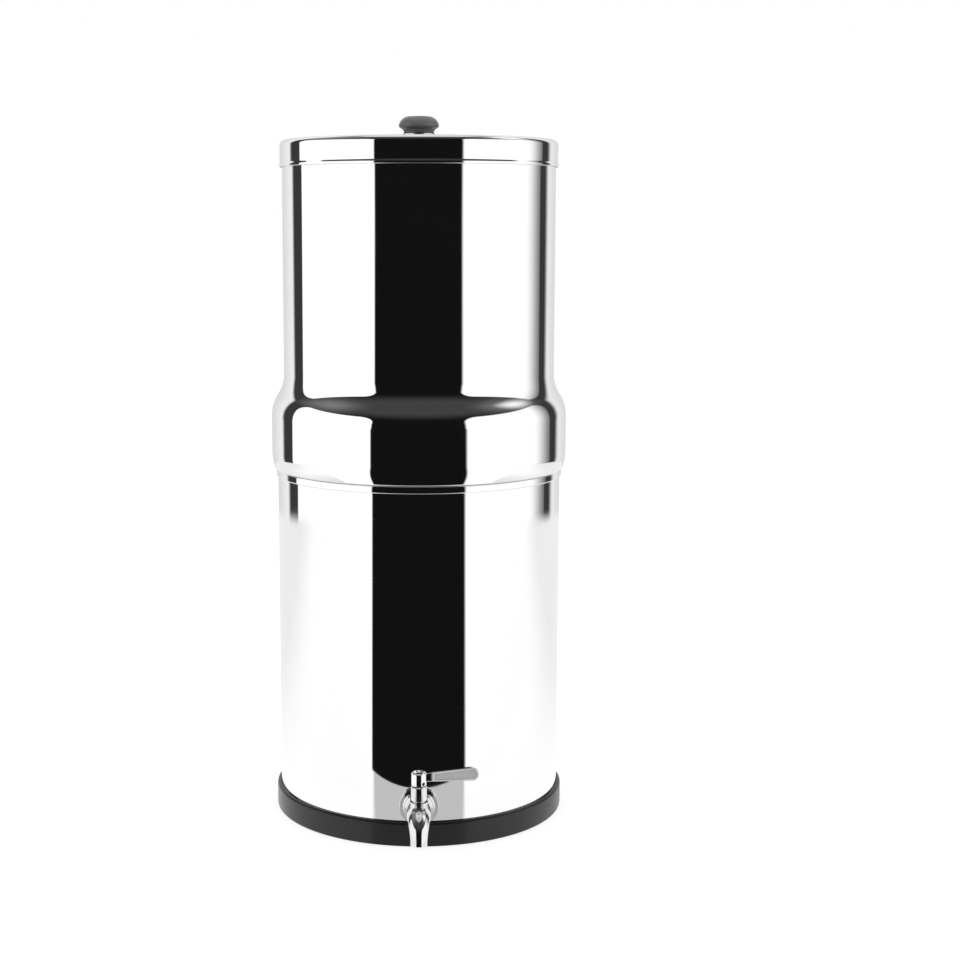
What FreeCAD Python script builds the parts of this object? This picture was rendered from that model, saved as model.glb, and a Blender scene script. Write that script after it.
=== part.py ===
import FreeCAD, Part
import math
import os
import re
import Sketcher

# Gravity water filter: two stacked steel cans, a lid with a knob, a quarter-turn tap and two filter elements.
# Millimetres. +Z is up, the vessel's axis is the Z axis, the tap looks along -Y and its lever points along +X.

Vector = FreeCAD.Vector
Rotation = FreeCAD.Rotation
Placement = FreeCAD.Placement

SIZES = {
    # Steel cans
    "sheet_wall": 0.8,
    "lower_radius": 120.0,
    "lower_corner": 6.0,
    "hem_radius": 121.4,
    "hem_bottom": 289.2,
    "hem_top": 295.3,
    "hem_round": 1.0,
    "tap_hole_radius": 8.2,
    "neck_radius": 118.4,
    "neck_bottom": 275.0,
    "neck_corner": 6.0,
    "shelf_height": 295.6,
    "shelf_round": 1.2,
    "curl_round": 1.5,
    "curl_radius": 44.0,
    "bulge_radius": 124.9,
    "bulge_bottom": 310.0,
    "bulge_top": 340.0,
    "flare_radius": 32.0,
    "upper_radius": 114.3,
    "rim_round": 1.5,
    "rim_top": 567.4,
    "element_circle": 60.0,
    "floor_hole_radius": 7.2,
    # How far outside a surface a cut starts, and how deep the cuts through thin walls run
    "cut_start": 5.0,
    "cut_margin": 1.0,
    "wall_cut": 20.0,
    "floor_cut": 10.0,
    "dome_cut": 12.0,
    # Base tray
    "base_radius": 123.4,
    "base_bore": 120.1,
    "base_height": 20.6,
    "base_floor": 3.0,
    "base_lip": 2.4,
    "base_foot_round": 2.0,
    "base_notch_radius": 16.4,
    # Lid and knob
    "lid_radius": 116.0,
    "lid_bead_radius": 116.6,
    "lid_bead_height": 3.4,
    "lid_bead_round": 0.6,
    "lid_bottom": 546.8,
    "lid_corner": 4.5,
    "lid_dome_radius": 1640.0,
    "lid_crown": 572.6,
    "lid_hole_radius": 2.75,
    "knob_washer_radius": 13.5,
    "knob_washer_thick": 2.0,
    "knob_foot_radius": 12.6,
    "knob_neck_height": 1.4,
    "knob_neck_curve": 5.0,
    "knob_lip_inner": 15.4,
    "knob_lip_height": 4.4,
    "knob_lip_round": 2.4,
    "knob_widest": 16.8,
    "knob_widest_height": 6.7,
    "knob_side_curve": 9.0,
    "knob_crown_edge": 9.6,
    "knob_crown_edge_height": 13.9,
    "knob_height": 14.4,
    "insert_radius": 3.5,
    "insert_length": 9.0,
    "knob_screw_radius": 2.1,
    "knob_screw_length": 11.0,
    "screw_head_radius": 4.6,
    "screw_head_height": 3.0,
    "screw_head_chamfer": 0.8,
    "screw_socket": 1.6,
    "screw_socket_depth": 1.8,
    "screw_washer_radius": 6.0,
    "screw_washer_thick": 1.0,
    "washer_slack": 0.02,
    # Filter elements and plugs
    "element_washer_radius": 15.0,
    "element_washer_thick": 2.5,
    "cap_radius": 37.0,
    "cap_height": 13.0,
    "cap_round": 0.8,
    "carbon_radius": 35.0,
    "carbon_length": 227.0,
    "carbon_round": 6.0,
    "carbon_bore": 12.0,
    "carbon_end_wall": 20.0,
    "stem_radius": 6.7,
    "stem_length": 42.0,
    "stem_bore": 3.2,
    "stem_tip_radius": 4.8,
    "stem_tip_height": 3.4,
    "stem_tip_curve": 4.6,
    "nut_gap": 0.3,
    "nut_hub_radius": 13.5,
    "nut_hub_height": 12.0,
    "nut_collar_radius": 11.0,
    "nut_collar_height": 8.0,
    "nut_bore": 6.78,
    "nut_notch_width": 3.2,
    "nut_notch_depth": 3.0,
    "nut_collar_chamfer": 1.5,
    "nut_shoulder": 2.0,
    "plug_head_radius": 13.0,
    "plug_head_height": 5.0,
    "plug_shank_radius": 7.1,
    "plug_barb_radius": 8.6,
    "plug_barb_height": 9.0,
    "plug_barb_land": 1.5,
    "plug_barb_gap": 0.1,
    "plug_tip_radius": 4.0,
    "plug_head_round": 1.5,
    # Tap: distances forward are measured from the vessel's axis, heights from the tap's own axis
    "tap_height": 34.3,
    "column_forward": 148.0,
    "shank_radius": 8.0,
    "shank_bore": 4.5,
    "shank_inlet": 98.0,
    "shank_chamfer": 0.8,
    "spigot_radius": 6.0,
    "seal_bore": 8.1,
    "inner_seal_radius": 13.0,
    "inner_seal_back": 116.6,
    "thrust_washer_radius": 12.5,
    "thrust_washer_thick": 1.0,
    "lock_nut_corner": 12.7,
    "lock_nut_height": 6.5,
    "lock_nut_bevel": 1.9,
    "lock_nut_bevel_height": 1.1,
    "outer_seal_radius": 14.5,
    "outer_seal_back": 117.5,
    "wall_tool_height": 80.0,
    "flange_back": 121.8,
    "flange_radius": 16.0,
    "flange_rim": 1.5,
    "flange_ring_radius": 11.9,
    "flange_ring": 3.6,
    "flange_back_chamfer": 0.5,
    "flange_edge": 1.0,
    "flange_edge_round": 0.7,
    "flange_cove": 1.6,
    "flange_cove_round": 2.4,
    "flange_ring_foot": 2.6,
    "body_back": 126.0,
    "body_radius": 10.0,
    "cavity_radius": 6.05,
    "boss_radius": 6.9,
    "boss_height": 12.7,
    "bend_start": 150.0,
    "bend_radius": 17.0,
    "spout_straight": 5.2,
    "spout_radius": 6.75,
    "passage_radius": 3.6,
    "throat_start": 1.2,
    "throat_length": 4.0,
    "mouth_radius": 4.9,
    "ball_radius": 5.5,
    "ball_bore": 3.2,
    "ball_play": 0.05,
    "seat_radius": 6.0,
    "seat_bore": 3.3,
    "seat_near": 2.8,
    "seat_far": 7.1,
    "bonnet_thread_radius": 4.5,
    "thread_play": 0.05,
    "bonnet_bottom": 8.2,
    "bonnet_groove_radius": 5.4,
    "bonnet_groove": 1.1,
    "bonnet_radius": 6.35,
    "bonnet_top": 25.5,
    "bonnet_foot_edge": 0.4,
    "bonnet_top_edge": 0.6,
    "bonnet_bore": 3.06,
    "stem_shaft_radius": 3.0,
    "stem_collar_radius": 4.0,
    "stem_collar_bottom": 6.4,
    "stem_collar_play": 0.1,
    "stem_chamfer": 0.5,
    "stem_top": 35.4,
    "tang_thick": 2.4,
    "tang_width": 5.0,
    "tang_bottom": 3.6,
    "tang_sink": 0.2,
    "slot_width": 2.5,
    "slot_bottom": 3.4,
    "ring_core_radius": 2.61,
    "ring_section_radius": 0.4,
    "ring_groove_radius": 2.2,
    "ring_groove_width": 1.0,
    "ring_lower_height": 12.0,
    "ring_upper_height": 19.0,
    "flat_reach": 2.45,
    "flat_bottom": 24.0,
    "flat_cut_half": 4.0,
    "flat_cut_reach": 5.0,
    "sleeve_radius": 6.0,
    "sleeve_bottom": 25.9,
    "sleeve_top": 36.7,
    "sleeve_bore": 3.02,
    "sleeve_dish_radius": 5.0,
    "sleeve_dish_depth": 1.6,
    "sleeve_dish_land": 0.4,
    "sleeve_foot_edge": 0.5,
    "sleeve_top_edge": 0.7,
    "paddle_thick": 4.4,
    "paddle_root": 3.6,
    "paddle_edge_round": 0.7,
    "paddle_root_bottom": 29.3,
    "paddle_root_top": 35.2,
    "paddle_shoulder": 11.0,
    "paddle_shoulder_top": 37.2,
    "paddle_tip_reach": 42.3,
    "paddle_tip_height": 35.6,
    "paddle_tip_radius": 5.3,
    "paddle_rim": 1.5,
    "paddle_panel_start": 12.5,
    "paddle_recess": 0.6,
    "screw_angle": 40.0,
    "grub_radius": 1.5,
    "grub_hole_radius": 1.55,
    "grub_height": 28.2,
    "grub_inner": 2.45,
    "grub_outer": 5.5,
    "grub_socket": 0.8,
    "grub_chamfer": 0.4,
    "grub_socket_depth": 1.2,
}

# The elbow's outside, as turn along the bend in degrees and radius there
ELBOW_STATIONS = [(0, 10.0), (18, 9.5), (36, 8.8), (54, 7.8), (75, 6.9)]
ELBOW_TURN = 75
PASSAGE_STATIONS = [(18, 3.6), (36, 3.8), (54, 4.2), (75, 4.6)]

# Which of the paddle's edges are rounded: those beyond its shoulder that lie in one flat face
EDGE_SLACK = 0.1
EDGE_FLAT = 0.01

doc = FreeCAD.newDocument("gravity_water_filter")
sheet = doc.addObject("Spreadsheet::Sheet", "Sizes")
for row, (alias, number) in enumerate(SIZES.items(), start=1):
    sheet.set(f"A{row}", alias.replace("_", " "))
    sheet.set(f"B{row}", str(number))
    sheet.setAlias(f"B{row}", alias)
doc.recompute()


def formula(words):
    """Turn words such as 'lower_radius - sheet_wall' into an expression on the sheet's cells."""
    return re.sub(r"[a-z][a-z_]*", lambda hit: "Sizes." + hit[0] if hit[0] in SIZES else hit[0], str(words))


def measure(words):
    """The number that an expression gives now."""
    return float(sheet.evalExpression(formula(words)))


def bind(item, path, words):
    """Set one property of an object from the sheet."""
    item.setExpression(path, formula(words))


def new_body(label, x="0", y="0", z="0", turn=None):
    """An empty body with its own label and placement."""
    body = doc.addObject("PartDesign::Body", label)
    body.Label = label
    if turn is not None:
        body.Placement = Placement(Vector(0, 0, 0), turn)
    place(body, x, y, z)
    return body


def place(item, x="0", y="0", z="0"):
    """Bind where a piece stands."""
    for axis, words in (("x", x), ("y", y), ("z", z)):
        bind(item, f"Placement.Base.{axis}", words)


def origin_plane(body, role):
    """One of a body's three origin planes."""
    return next(item for item in body.Origin.OriginFeatures if item.Role == role)


def new_sketch(body, name, role, lift="0", rise="0", tilt=None, tilt_axis=Vector(1, 0, 0)):
    """A sketch on an origin plane, moved along the plane's normal by lift and up by rise, tilted if asked."""
    sketch = body.newObject("Sketcher::SketchObject", name)
    sketch.AttachmentSupport = (origin_plane(body, role), [""])
    sketch.MapMode = "FlatFace"
    if tilt is not None:
        sketch.AttachmentOffset = Placement(Vector(0, 0, 0), Rotation(tilt_axis, measure(tilt)))
        bind(sketch, "AttachmentOffset.Rotation.Angle", tilt)
    bind(sketch, "AttachmentOffset.Base.y", rise)
    bind(sketch, "AttachmentOffset.Base.z", lift)
    return sketch


def drive(sketch, kind, refs, words):
    """Add a dimension whose value follows the sheet."""
    index = sketch.addConstraint(Sketcher.Constraint(kind, *refs, measure(words)))
    sketch.setExpression(f"Constraints[{index}]", formula(words))


def locate(sketch, geo, pos, x, y):
    """Fix a sketch point at x, y from the sketch's origin."""
    for kind, words, axis in (("DistanceX", x, -2), ("DistanceY", y, -1)):
        value = measure(words)
        if abs(value) < 1e-9:
            sketch.addConstraint(Sketcher.Constraint("PointOnObject", geo, pos, axis))
        elif value > 0:
            drive(sketch, kind, (-1, 1, geo, pos), words)
        else:
            drive(sketch, kind, (geo, pos, -1, 1), f"-({words})")


def arc_between(start, end, radius, side):
    """The arc under a half turn from start to end that bends left (side 1) or right (side -1)."""
    chord = end - start
    reach = math.sqrt(max(radius ** 2 - (chord.Length / 2) ** 2, 0.0))
    left = Vector(-chord.y, chord.x, 0).normalize()
    centre = (start + end) * 0.5 + left * (side * reach)
    first, last = (start, end) if side > 0 else (end, start)
    angles = [math.atan2(p.y - centre.y, p.x - centre.x) for p in (first, last)]
    return Part.ArcOfCircle(Part.Circle(centre, Vector(0, 0, 1), radius), *angles)


def outline(sketch, corners):
    """Draw a closed outline. A corner is (x, y), or (x, y, radius, side) where an arc leaves it."""
    points = [Vector(measure(corner[0]), measure(corner[1]), 0) for corner in corners]
    ends = []
    for index, corner in enumerate(corners):
        start = points[index]
        end = points[(index + 1) % len(points)]
        if len(corner) == 2:
            geo = sketch.addGeometry(Part.LineSegment(start, end))
            ends.append((geo, 1, 2))
            continue
        side = corner[3]
        geo = sketch.addGeometry(arc_between(start, end, measure(corner[2]), side))
        ends.append((geo, 1, 2) if side > 0 else (geo, 2, 1))
    for index, (geo, start_pos, end_pos) in enumerate(ends):
        after = ends[(index + 1) % len(ends)]
        sketch.addConstraint(Sketcher.Constraint("Coincident", geo, end_pos, after[0], after[1]))
    for (geo, start_pos, end_pos), corner in zip(ends, corners):
        locate(sketch, geo, start_pos, corner[0], corner[1])
        if len(corner) == 4:
            drive(sketch, "Radius", (geo,), corner[2])
    return sketch


def circle(sketch, radius, x="0", y="0"):
    """Draw one circle."""
    round_edge = Part.Circle(Vector(measure(x), measure(y), 0), Vector(0, 0, 1), measure(radius))
    geo = sketch.addGeometry(round_edge)
    locate(sketch, geo, 3, x, y)
    drive(sketch, "Radius", (geo,), radius)
    return sketch


def revolve(body, sketch, kind="PartDesign::Revolution"):
    """Turn a sketch once round the body's Z axis."""
    feature = body.newObject(kind, f"{body.Label}_turned")
    feature.Profile = sketch
    feature.ReferenceAxis = (sketch, ["V_Axis"])
    feature.Angle = 360
    sketch.Visibility = False
    return feature


def turned(label, corners, x="0", y="0", z="0", turn=None):
    """A turned piece: its half section, in radius and height, spun round its own Z axis."""
    body = new_body(label, x, y, z, turn)
    revolve(body, outline(new_sketch(body, f"{label}_section", "XZ_Plane"), corners))
    return body


def ring_corners(inner, outer, bottom, top):
    """The section of a plain washer."""
    return [(inner, bottom), (outer, bottom), (outer, top), (inner, top)]


def pad(body, sketch, length, midplane=False):
    """Pull a sketch out along its normal, or by half each way."""
    feature = body.newObject("PartDesign::Pad", f"{sketch.Label}_pad")
    feature.Profile = sketch
    bind(feature, "Length", length)
    feature.Midplane = midplane
    sketch.Visibility = False
    return feature


def pocket(body, sketch, length, midplane=False):
    """Cut a sketch away against its normal, and see that something was cut."""
    doc.recompute()
    before = body.Shape.Volume
    feature = body.newObject("PartDesign::Pocket", f"{sketch.Label}_pocket")
    feature.Profile = sketch
    bind(feature, "Length", length)
    feature.Midplane = midplane
    sketch.Visibility = False
    doc.recompute()
    if body.Shape.Volume > before - 1e-6:
        raise RuntimeError(f"{feature.Label} cuts nothing")
    return feature


def loft(body, sections, kind):
    """A smooth solid or cut through a row of sketches."""
    feature = body.newObject(kind, f"{sections[0].Label}_loft")
    feature.Profile = sections[0]
    feature.Sections = sections[1:]
    return feature


def cylinder(label, radius, height, x="0", y="0", z="0", turn=None):
    """A plain cylinder from the sheet's sizes."""
    item = doc.addObject("Part::Cylinder", label)
    if turn is not None:
        item.Placement = Placement(Vector(0, 0, 0), turn)
    bind(item, "Radius", radius)
    bind(item, "Height", height)
    place(item, x, y, z)
    return item


def boolean(kind, label, base, tool):
    """A cut or common of two pieces, under its own label."""
    item = doc.addObject(kind, label)
    item.Label = label
    item.Base = base
    item.Tool = tool
    return item


FORWARD = Rotation(Vector(1, 0, 0), 90)
parts = []


def base_tray():
    """Moulded tray that the lower can stands in, with a dip in its lip under the tap's flange."""
    tray = turned("base_tray", [
        ("0", "0"),
        ("base_radius - base_foot_round", "0", "base_foot_round", 1),
        ("base_radius", "base_foot_round"),
        ("base_radius", "base_height - base_lip", "base_lip", 1),
        ("base_radius - base_lip", "base_height"),
        ("base_bore", "base_height"),
        ("base_bore", "base_floor"),
        ("0", "base_floor"),
    ])
    dip = new_sketch(tray, "flange_dip", "XZ_Plane", lift="base_radius + cut_start")
    circle(dip, "base_notch_radius", y="tap_height")
    pocket(tray, dip, "floor_cut")
    return tray


def lower_chamber():
    """Lower can: flat floor, straight wall, folded hem on top and one hole for the tap."""
    can = turned("lower_chamber", [
        ("0", "base_floor"),
        ("lower_radius - lower_corner", "base_floor", "lower_corner", 1),
        ("lower_radius", "base_floor + lower_corner"),
        ("lower_radius", "hem_bottom"),
        ("hem_radius - hem_round", "hem_bottom", "hem_round", 1),
        ("hem_radius", "hem_bottom + hem_round"),
        ("hem_radius", "hem_top - hem_round", "hem_round", 1),
        ("hem_radius - hem_round", "hem_top"),
        ("lower_radius - sheet_wall + hem_round", "hem_top", "hem_round", 1),
        ("lower_radius - sheet_wall", "hem_top - hem_round"),
        ("lower_radius - sheet_wall", "base_floor + lower_corner", "lower_corner - sheet_wall", -1),
        ("lower_radius - lower_corner", "base_floor + sheet_wall"),
        ("0", "base_floor + sheet_wall"),
    ])
    hole = new_sketch(can, "tap_hole", "XZ_Plane", lift="lower_radius + cut_start")
    circle(hole, "tap_hole_radius", y="tap_height")
    pocket(can, hole, "wall_cut")
    return can


def upper_chamber():
    """Upper can: neck that drops into the lower can, wider band over the hem, flare, wall and rolled rim."""
    curl_sine = "((bulge_bottom - shelf_height - curl_round) / (curl_radius - curl_round))"
    curl_cosine = f"sqrt(1 - {curl_sine} ^ 2)"
    curl_centre = "(bulge_radius - curl_radius)"
    fold = f"({curl_centre} + (curl_radius - curl_round) * {curl_cosine})"
    flare_cosine = "(1 - (bulge_radius - upper_radius) / (2 * flare_radius))"
    flare_sine = f"sqrt(1 - {flare_cosine} ^ 2)"
    flare_middle = f"(bulge_top + flare_radius * {flare_sine})"
    flare_top = f"(bulge_top + 2 * flare_radius * {flare_sine})"
    half_way = "((bulge_radius + upper_radius) / 2)"
    inner_bulge = "(bulge_radius - sheet_wall)"
    inner_upper = "(upper_radius - sheet_wall)"
    can = turned("upper_chamber", [
        ("0", "neck_bottom"),
        ("neck_radius - neck_corner", "neck_bottom", "neck_corner", 1),
        ("neck_radius", "neck_bottom + neck_corner"),
        ("neck_radius", "shelf_height - shelf_round", "shelf_round", -1),
        ("neck_radius + shelf_round", "shelf_height"),
        (fold, "shelf_height", "curl_round", 1),
        (f"{fold} + curl_round * {curl_cosine}", f"shelf_height + curl_round * (1 - {curl_sine})",
         "curl_radius", 1),
        ("bulge_radius", "bulge_bottom"),
        ("bulge_radius", "bulge_top", "flare_radius", 1),
        (half_way, flare_middle, "flare_radius", -1),
        ("upper_radius", flare_top),
        ("upper_radius", "rim_top - rim_round", "rim_round", 1),
        ("upper_radius - rim_round", "rim_top", "rim_round", 1),
        ("upper_radius - 2 * rim_round", "rim_top - rim_round", "rim_round", 1),
        ("upper_radius - rim_round", "rim_top - 2 * rim_round"),
        (inner_upper, "rim_top - 2 * rim_round"),
        (inner_upper, flare_top, "flare_radius + sheet_wall", 1),
        (f"{half_way} - sheet_wall * {flare_cosine}", f"{flare_middle} - sheet_wall * {flare_sine}",
         "flare_radius - sheet_wall", -1),
        (inner_bulge, "bulge_top"),
        (inner_bulge, "bulge_bottom", "curl_radius - sheet_wall", -1),
        (f"{fold} + (curl_round - sheet_wall) * {curl_cosine}",
         f"shelf_height + curl_round - (curl_round - sheet_wall) * {curl_sine}", "curl_round - sheet_wall", -1),
        (fold, "shelf_height + sheet_wall"),
        ("neck_radius + shelf_round", "shelf_height + sheet_wall", "shelf_round + sheet_wall", 1),
        ("neck_radius - sheet_wall", "shelf_height - shelf_round"),
        ("neck_radius - sheet_wall", "neck_bottom + neck_corner", "neck_corner - sheet_wall", -1),
        ("neck_radius - neck_corner", "neck_bottom + sheet_wall"),
        ("0", "neck_bottom + sheet_wall"),
    ])
    hole = new_sketch(can, "floor_hole", "XY_Plane", lift="neck_bottom + cut_start")
    circle(hole, "floor_hole_radius", x="element_circle")
    first = pocket(can, hole, "floor_cut")
    pattern = can.newObject("PartDesign::PolarPattern", "floor_holes")
    pattern.Originals = [first]
    pattern.Axis = (hole, ["N_Axis"])
    pattern.Angle = 360
    pattern.Occurrences = 4
    can.Tip = pattern
    return can


def lid():
    """Shallow cover: slightly domed top, tight round edge, straight skirt with a small bead."""
    tilt_sine = "((lid_radius - lid_corner) / (lid_dome_radius - lid_corner))"
    tilt_cosine = f"sqrt(1 - {tilt_sine} ^ 2)"
    corner_height = f"(lid_crown - lid_dome_radius + (lid_dome_radius - lid_corner) * {tilt_cosine})"
    inner_corner = "(lid_corner - sheet_wall)"
    cover = turned("lid", [
        ("lid_radius - sheet_wall", "lid_bottom"),
        ("lid_bead_radius - lid_bead_round", "lid_bottom", "lid_bead_round", 1),
        ("lid_bead_radius", "lid_bottom + lid_bead_round"),
        ("lid_bead_radius", "lid_bottom + lid_bead_height - lid_bead_round", "lid_bead_round", 1),
        ("lid_bead_radius - lid_bead_round", "lid_bottom + lid_bead_height"),
        ("lid_radius", corner_height, "lid_corner", 1),
        (f"lid_radius - lid_corner + lid_corner * {tilt_sine}", f"{corner_height} + lid_corner * {tilt_cosine}",
         "lid_dome_radius", 1),
        ("0", "lid_crown"),
        ("0", "lid_crown - sheet_wall", "lid_dome_radius - sheet_wall", -1),
        (f"lid_radius - lid_corner + {inner_corner} * {tilt_sine}",
         f"{corner_height} + {inner_corner} * {tilt_cosine}", inner_corner, -1),
        ("lid_radius - sheet_wall", corner_height),
    ])
    hole = new_sketch(cover, "knob_screw_hole", "XY_Plane", lift="lid_crown + cut_start")
    circle(hole, "lid_hole_radius")
    pocket(cover, hole, "dome_cut")
    return cover


def knob_pieces():
    """Mushroom knob with a threaded insert, held by a screw from under the lid."""
    foot = "lid_crown + knob_washer_thick"
    under = "(lid_crown - sheet_wall - washer_slack)"
    crown_rise = "(knob_height - knob_crown_edge_height)"
    knob = turned("lid_knob", [
        ("insert_radius", "0"),
        ("knob_foot_radius", "0"),
        ("knob_foot_radius", "knob_neck_height", "knob_neck_curve", -1),
        ("knob_lip_inner", "knob_lip_height", "knob_lip_round", 1),
        ("knob_widest", "knob_widest_height", "knob_side_curve", 1),
        ("knob_crown_edge", "knob_crown_edge_height",
         f"(knob_crown_edge ^ 2 + {crown_rise} ^ 2) / (2 * {crown_rise})", 1),
        ("0", "knob_height"),
        ("0", "insert_length"),
        ("insert_radius", "insert_length"),
    ], z=foot)
    washer = turned("knob_washer", ring_corners(
        "lid_hole_radius", "knob_washer_radius", "0", "knob_washer_thick"), z="lid_crown")
    insert = turned("knob_insert", ring_corners(
        "knob_screw_radius", "insert_radius", "0", "insert_length"), z=foot)
    screw_washer = turned("screw_washer", ring_corners(
        "lid_hole_radius", "screw_washer_radius", "-screw_washer_thick", "0"), z=under)
    screw = turned("knob_screw", [
        ("0", "-screw_head_height"),
        ("screw_head_radius - screw_head_chamfer", "-screw_head_height"),
        ("screw_head_radius", "-screw_head_height + screw_head_chamfer"),
        ("screw_head_radius", "0"),
        ("knob_screw_radius", "0"),
        ("knob_screw_radius", "knob_screw_length"),
        ("0", "knob_screw_length"),
    ], z=f"{under} - screw_washer_thick")
    socket = new_sketch(screw, "screw_socket", "XY_Plane", lift="-screw_head_height + screw_socket_depth")
    circle(socket, "screw_socket")
    pocket(screw, socket, "screw_socket_depth + cut_margin")
    return [knob, washer, insert, screw_washer, screw]


def element(side, x):
    """One filter element: carbon block, base cap with its stem, sealing washer and clamp nut."""
    floor = "neck_bottom + sheet_wall"
    seat = f"{floor} + element_washer_thick"
    washer = turned(f"element_washer_{side}", ring_corners(
        "floor_hole_radius", "element_washer_radius", "0", "element_washer_thick"), x=x, z=floor)
    base = turned(f"element_base_{side}", [
        ("stem_bore", "-stem_length"),
        ("stem_tip_radius", "-stem_length", "stem_tip_curve", 1),
        ("stem_radius", "-stem_length + stem_tip_height"),
        ("stem_radius", "0"),
        ("cap_radius - cap_round", "0", "cap_round", 1),
        ("cap_radius", "cap_round"),
        ("cap_radius", "cap_height - cap_round", "cap_round", 1),
        ("cap_radius - cap_round", "cap_height"),
        ("stem_bore", "cap_height"),
    ], x=x, z=seat)
    carbon = turned(f"element_carbon_{side}", [
        ("carbon_bore", "0"),
        ("carbon_radius", "0"),
        ("carbon_radius", "carbon_length - carbon_round", "carbon_round", 1),
        ("carbon_radius - carbon_round", "carbon_length"),
        ("0", "carbon_length"),
        ("0", "carbon_length - carbon_end_wall"),
        ("carbon_bore", "carbon_length - carbon_end_wall"),
    ], x=x, z=f"{seat} + cap_height")
    nut = turned(f"clamp_nut_{side}", [
        ("nut_bore", "0"),
        ("nut_bore", "-(nut_hub_height + nut_collar_height)"),
        ("nut_collar_radius - nut_collar_chamfer", "-(nut_hub_height + nut_collar_height)"),
        ("nut_collar_radius", "-(nut_hub_height + nut_collar_height - nut_collar_chamfer)"),
        ("nut_collar_radius", "-nut_hub_height"),
        ("nut_hub_radius", "-(nut_hub_height - nut_shoulder)"),
        ("nut_hub_radius", "0"),
    ], x=x, z="neck_bottom - nut_gap")
    notch = new_sketch(nut, f"finger_notch_{side}", "XY_Plane", lift="0")
    outline(notch, [
        ("nut_hub_radius - nut_notch_depth", "-nut_notch_width / 2"),
        ("nut_hub_radius + cut_margin", "-nut_notch_width / 2"),
        ("nut_hub_radius + cut_margin", "nut_notch_width / 2"),
        ("nut_hub_radius - nut_notch_depth", "nut_notch_width / 2"),
    ])
    first = pocket(nut, notch, "nut_hub_height")
    pattern = nut.newObject("PartDesign::PolarPattern", f"finger_notches_{side}")
    pattern.Originals = [first]
    pattern.Axis = (notch, ["N_Axis"])
    pattern.Angle = 360
    pattern.Occurrences = 6
    nut.Tip = pattern
    return [washer, base, carbon, nut]


def blanking_plug(side, y):
    """Rubber plug pushed into a floor hole that holds no element."""
    return turned(f"blanking_plug_{side}", [
        ("0", "-(sheet_wall + plug_barb_height)"),
        ("plug_tip_radius", "-(sheet_wall + plug_barb_height)"),
        ("plug_barb_radius", "-(sheet_wall + plug_barb_land)"),
        ("plug_barb_radius", "-(sheet_wall + plug_barb_gap)"),
        ("plug_shank_radius", "-(sheet_wall + plug_barb_gap)"),
        ("plug_shank_radius", "0"),
        ("plug_head_radius", "0"),
        ("plug_head_radius", "plug_head_height - plug_head_round", "plug_head_round", 1),
        ("plug_head_radius - plug_head_round", "plug_head_height"),
        ("0", "plug_head_height"),
    ], y=y, z="neck_bottom + sheet_wall")


def tap_turned(label, corners):
    """A turned tap piece whose own Z axis points forward from the vessel's axis."""
    return turned(label, corners, z="tap_height", turn=FORWARD)


def wall_fittings():
    """What clamps the tap to the curved wall: flange, two seals, thrust washer and lock nut."""
    flange = tap_turned("tap_flange", [
        ("seal_bore", "flange_back"),
        ("flange_radius - flange_back_chamfer", "flange_back"),
        ("flange_radius", "flange_back + flange_back_chamfer"),
        ("flange_radius", "flange_back + flange_edge", "flange_edge_round", 1),
        ("flange_radius - flange_edge_round", "flange_back + flange_edge + flange_edge_round"),
        ("flange_ring_radius + flange_cove", "flange_back + flange_rim", "flange_cove_round", -1),
        ("flange_ring_radius", "flange_back + flange_ring_foot"),
        ("flange_ring_radius", "flange_back + flange_ring - flange_edge_round", "flange_edge_round", 1),
        ("flange_ring_radius - flange_edge_round", "flange_back + flange_ring"),
        ("body_radius", "body_back"),
        ("seal_bore", "body_back"),
    ])
    shank = tap_turned("tap_shank", [
        ("shank_bore", "shank_inlet"),
        ("shank_radius - shank_chamfer", "shank_inlet"),
        ("shank_radius", "shank_inlet + shank_chamfer"),
        ("shank_radius", "body_back"),
        ("spigot_radius", "body_back"),
        ("spigot_radius", "column_forward - seat_far"),
        ("shank_bore", "column_forward - seat_far"),
    ])
    thrust = tap_turned("thrust_washer", ring_corners(
        "seal_bore", "thrust_washer_radius", "inner_seal_back - thrust_washer_thick", "inner_seal_back"))
    inner_ring = tap_turned("inner_seal_ring", ring_corners(
        "seal_bore", "inner_seal_radius", "inner_seal_back", "lower_radius"))
    inside = cylinder("inside_of_wall", "lower_radius - sheet_wall", "wall_tool_height")
    inner_seal = boolean("Part::Common", "tap_inner_seal", inner_ring, inside)
    outer_ring = tap_turned("outer_seal_ring", ring_corners(
        "tap_hole_radius", "outer_seal_radius", "outer_seal_back", "flange_back"))
    outside = cylinder("outside_of_wall", "lower_radius", "wall_tool_height")
    outer_seal = boolean("Part::Cut", "tap_outer_seal", outer_ring, outside)
    nut_front = "inner_seal_back - thrust_washer_thick"
    prism = doc.addObject("Part::Prism", "lock_nut_hexagon")
    prism.Polygon = 6
    prism.Placement = Placement(Vector(0, 0, 0), FORWARD)
    bind(prism, "Circumradius", "lock_nut_corner")
    bind(prism, "Height", "lock_nut_height")
    back = f"({nut_front} - lock_nut_height)"
    place(prism, y=f"-{back}", z="tap_height")
    bevel = tap_turned("lock_nut_bevel", [
        ("shank_radius", back),
        ("lock_nut_corner - lock_nut_bevel", back),
        ("lock_nut_corner", f"{back} + lock_nut_bevel_height"),
        ("lock_nut_corner", f"{nut_front} - lock_nut_bevel_height"),
        ("lock_nut_corner - lock_nut_bevel", nut_front),
        ("shank_radius", nut_front),
    ])
    lock_nut = boolean("Part::Common", "tap_lock_nut", prism, bevel)
    return [flange, shank, thrust, inner_seal, outer_seal, lock_nut]


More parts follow.
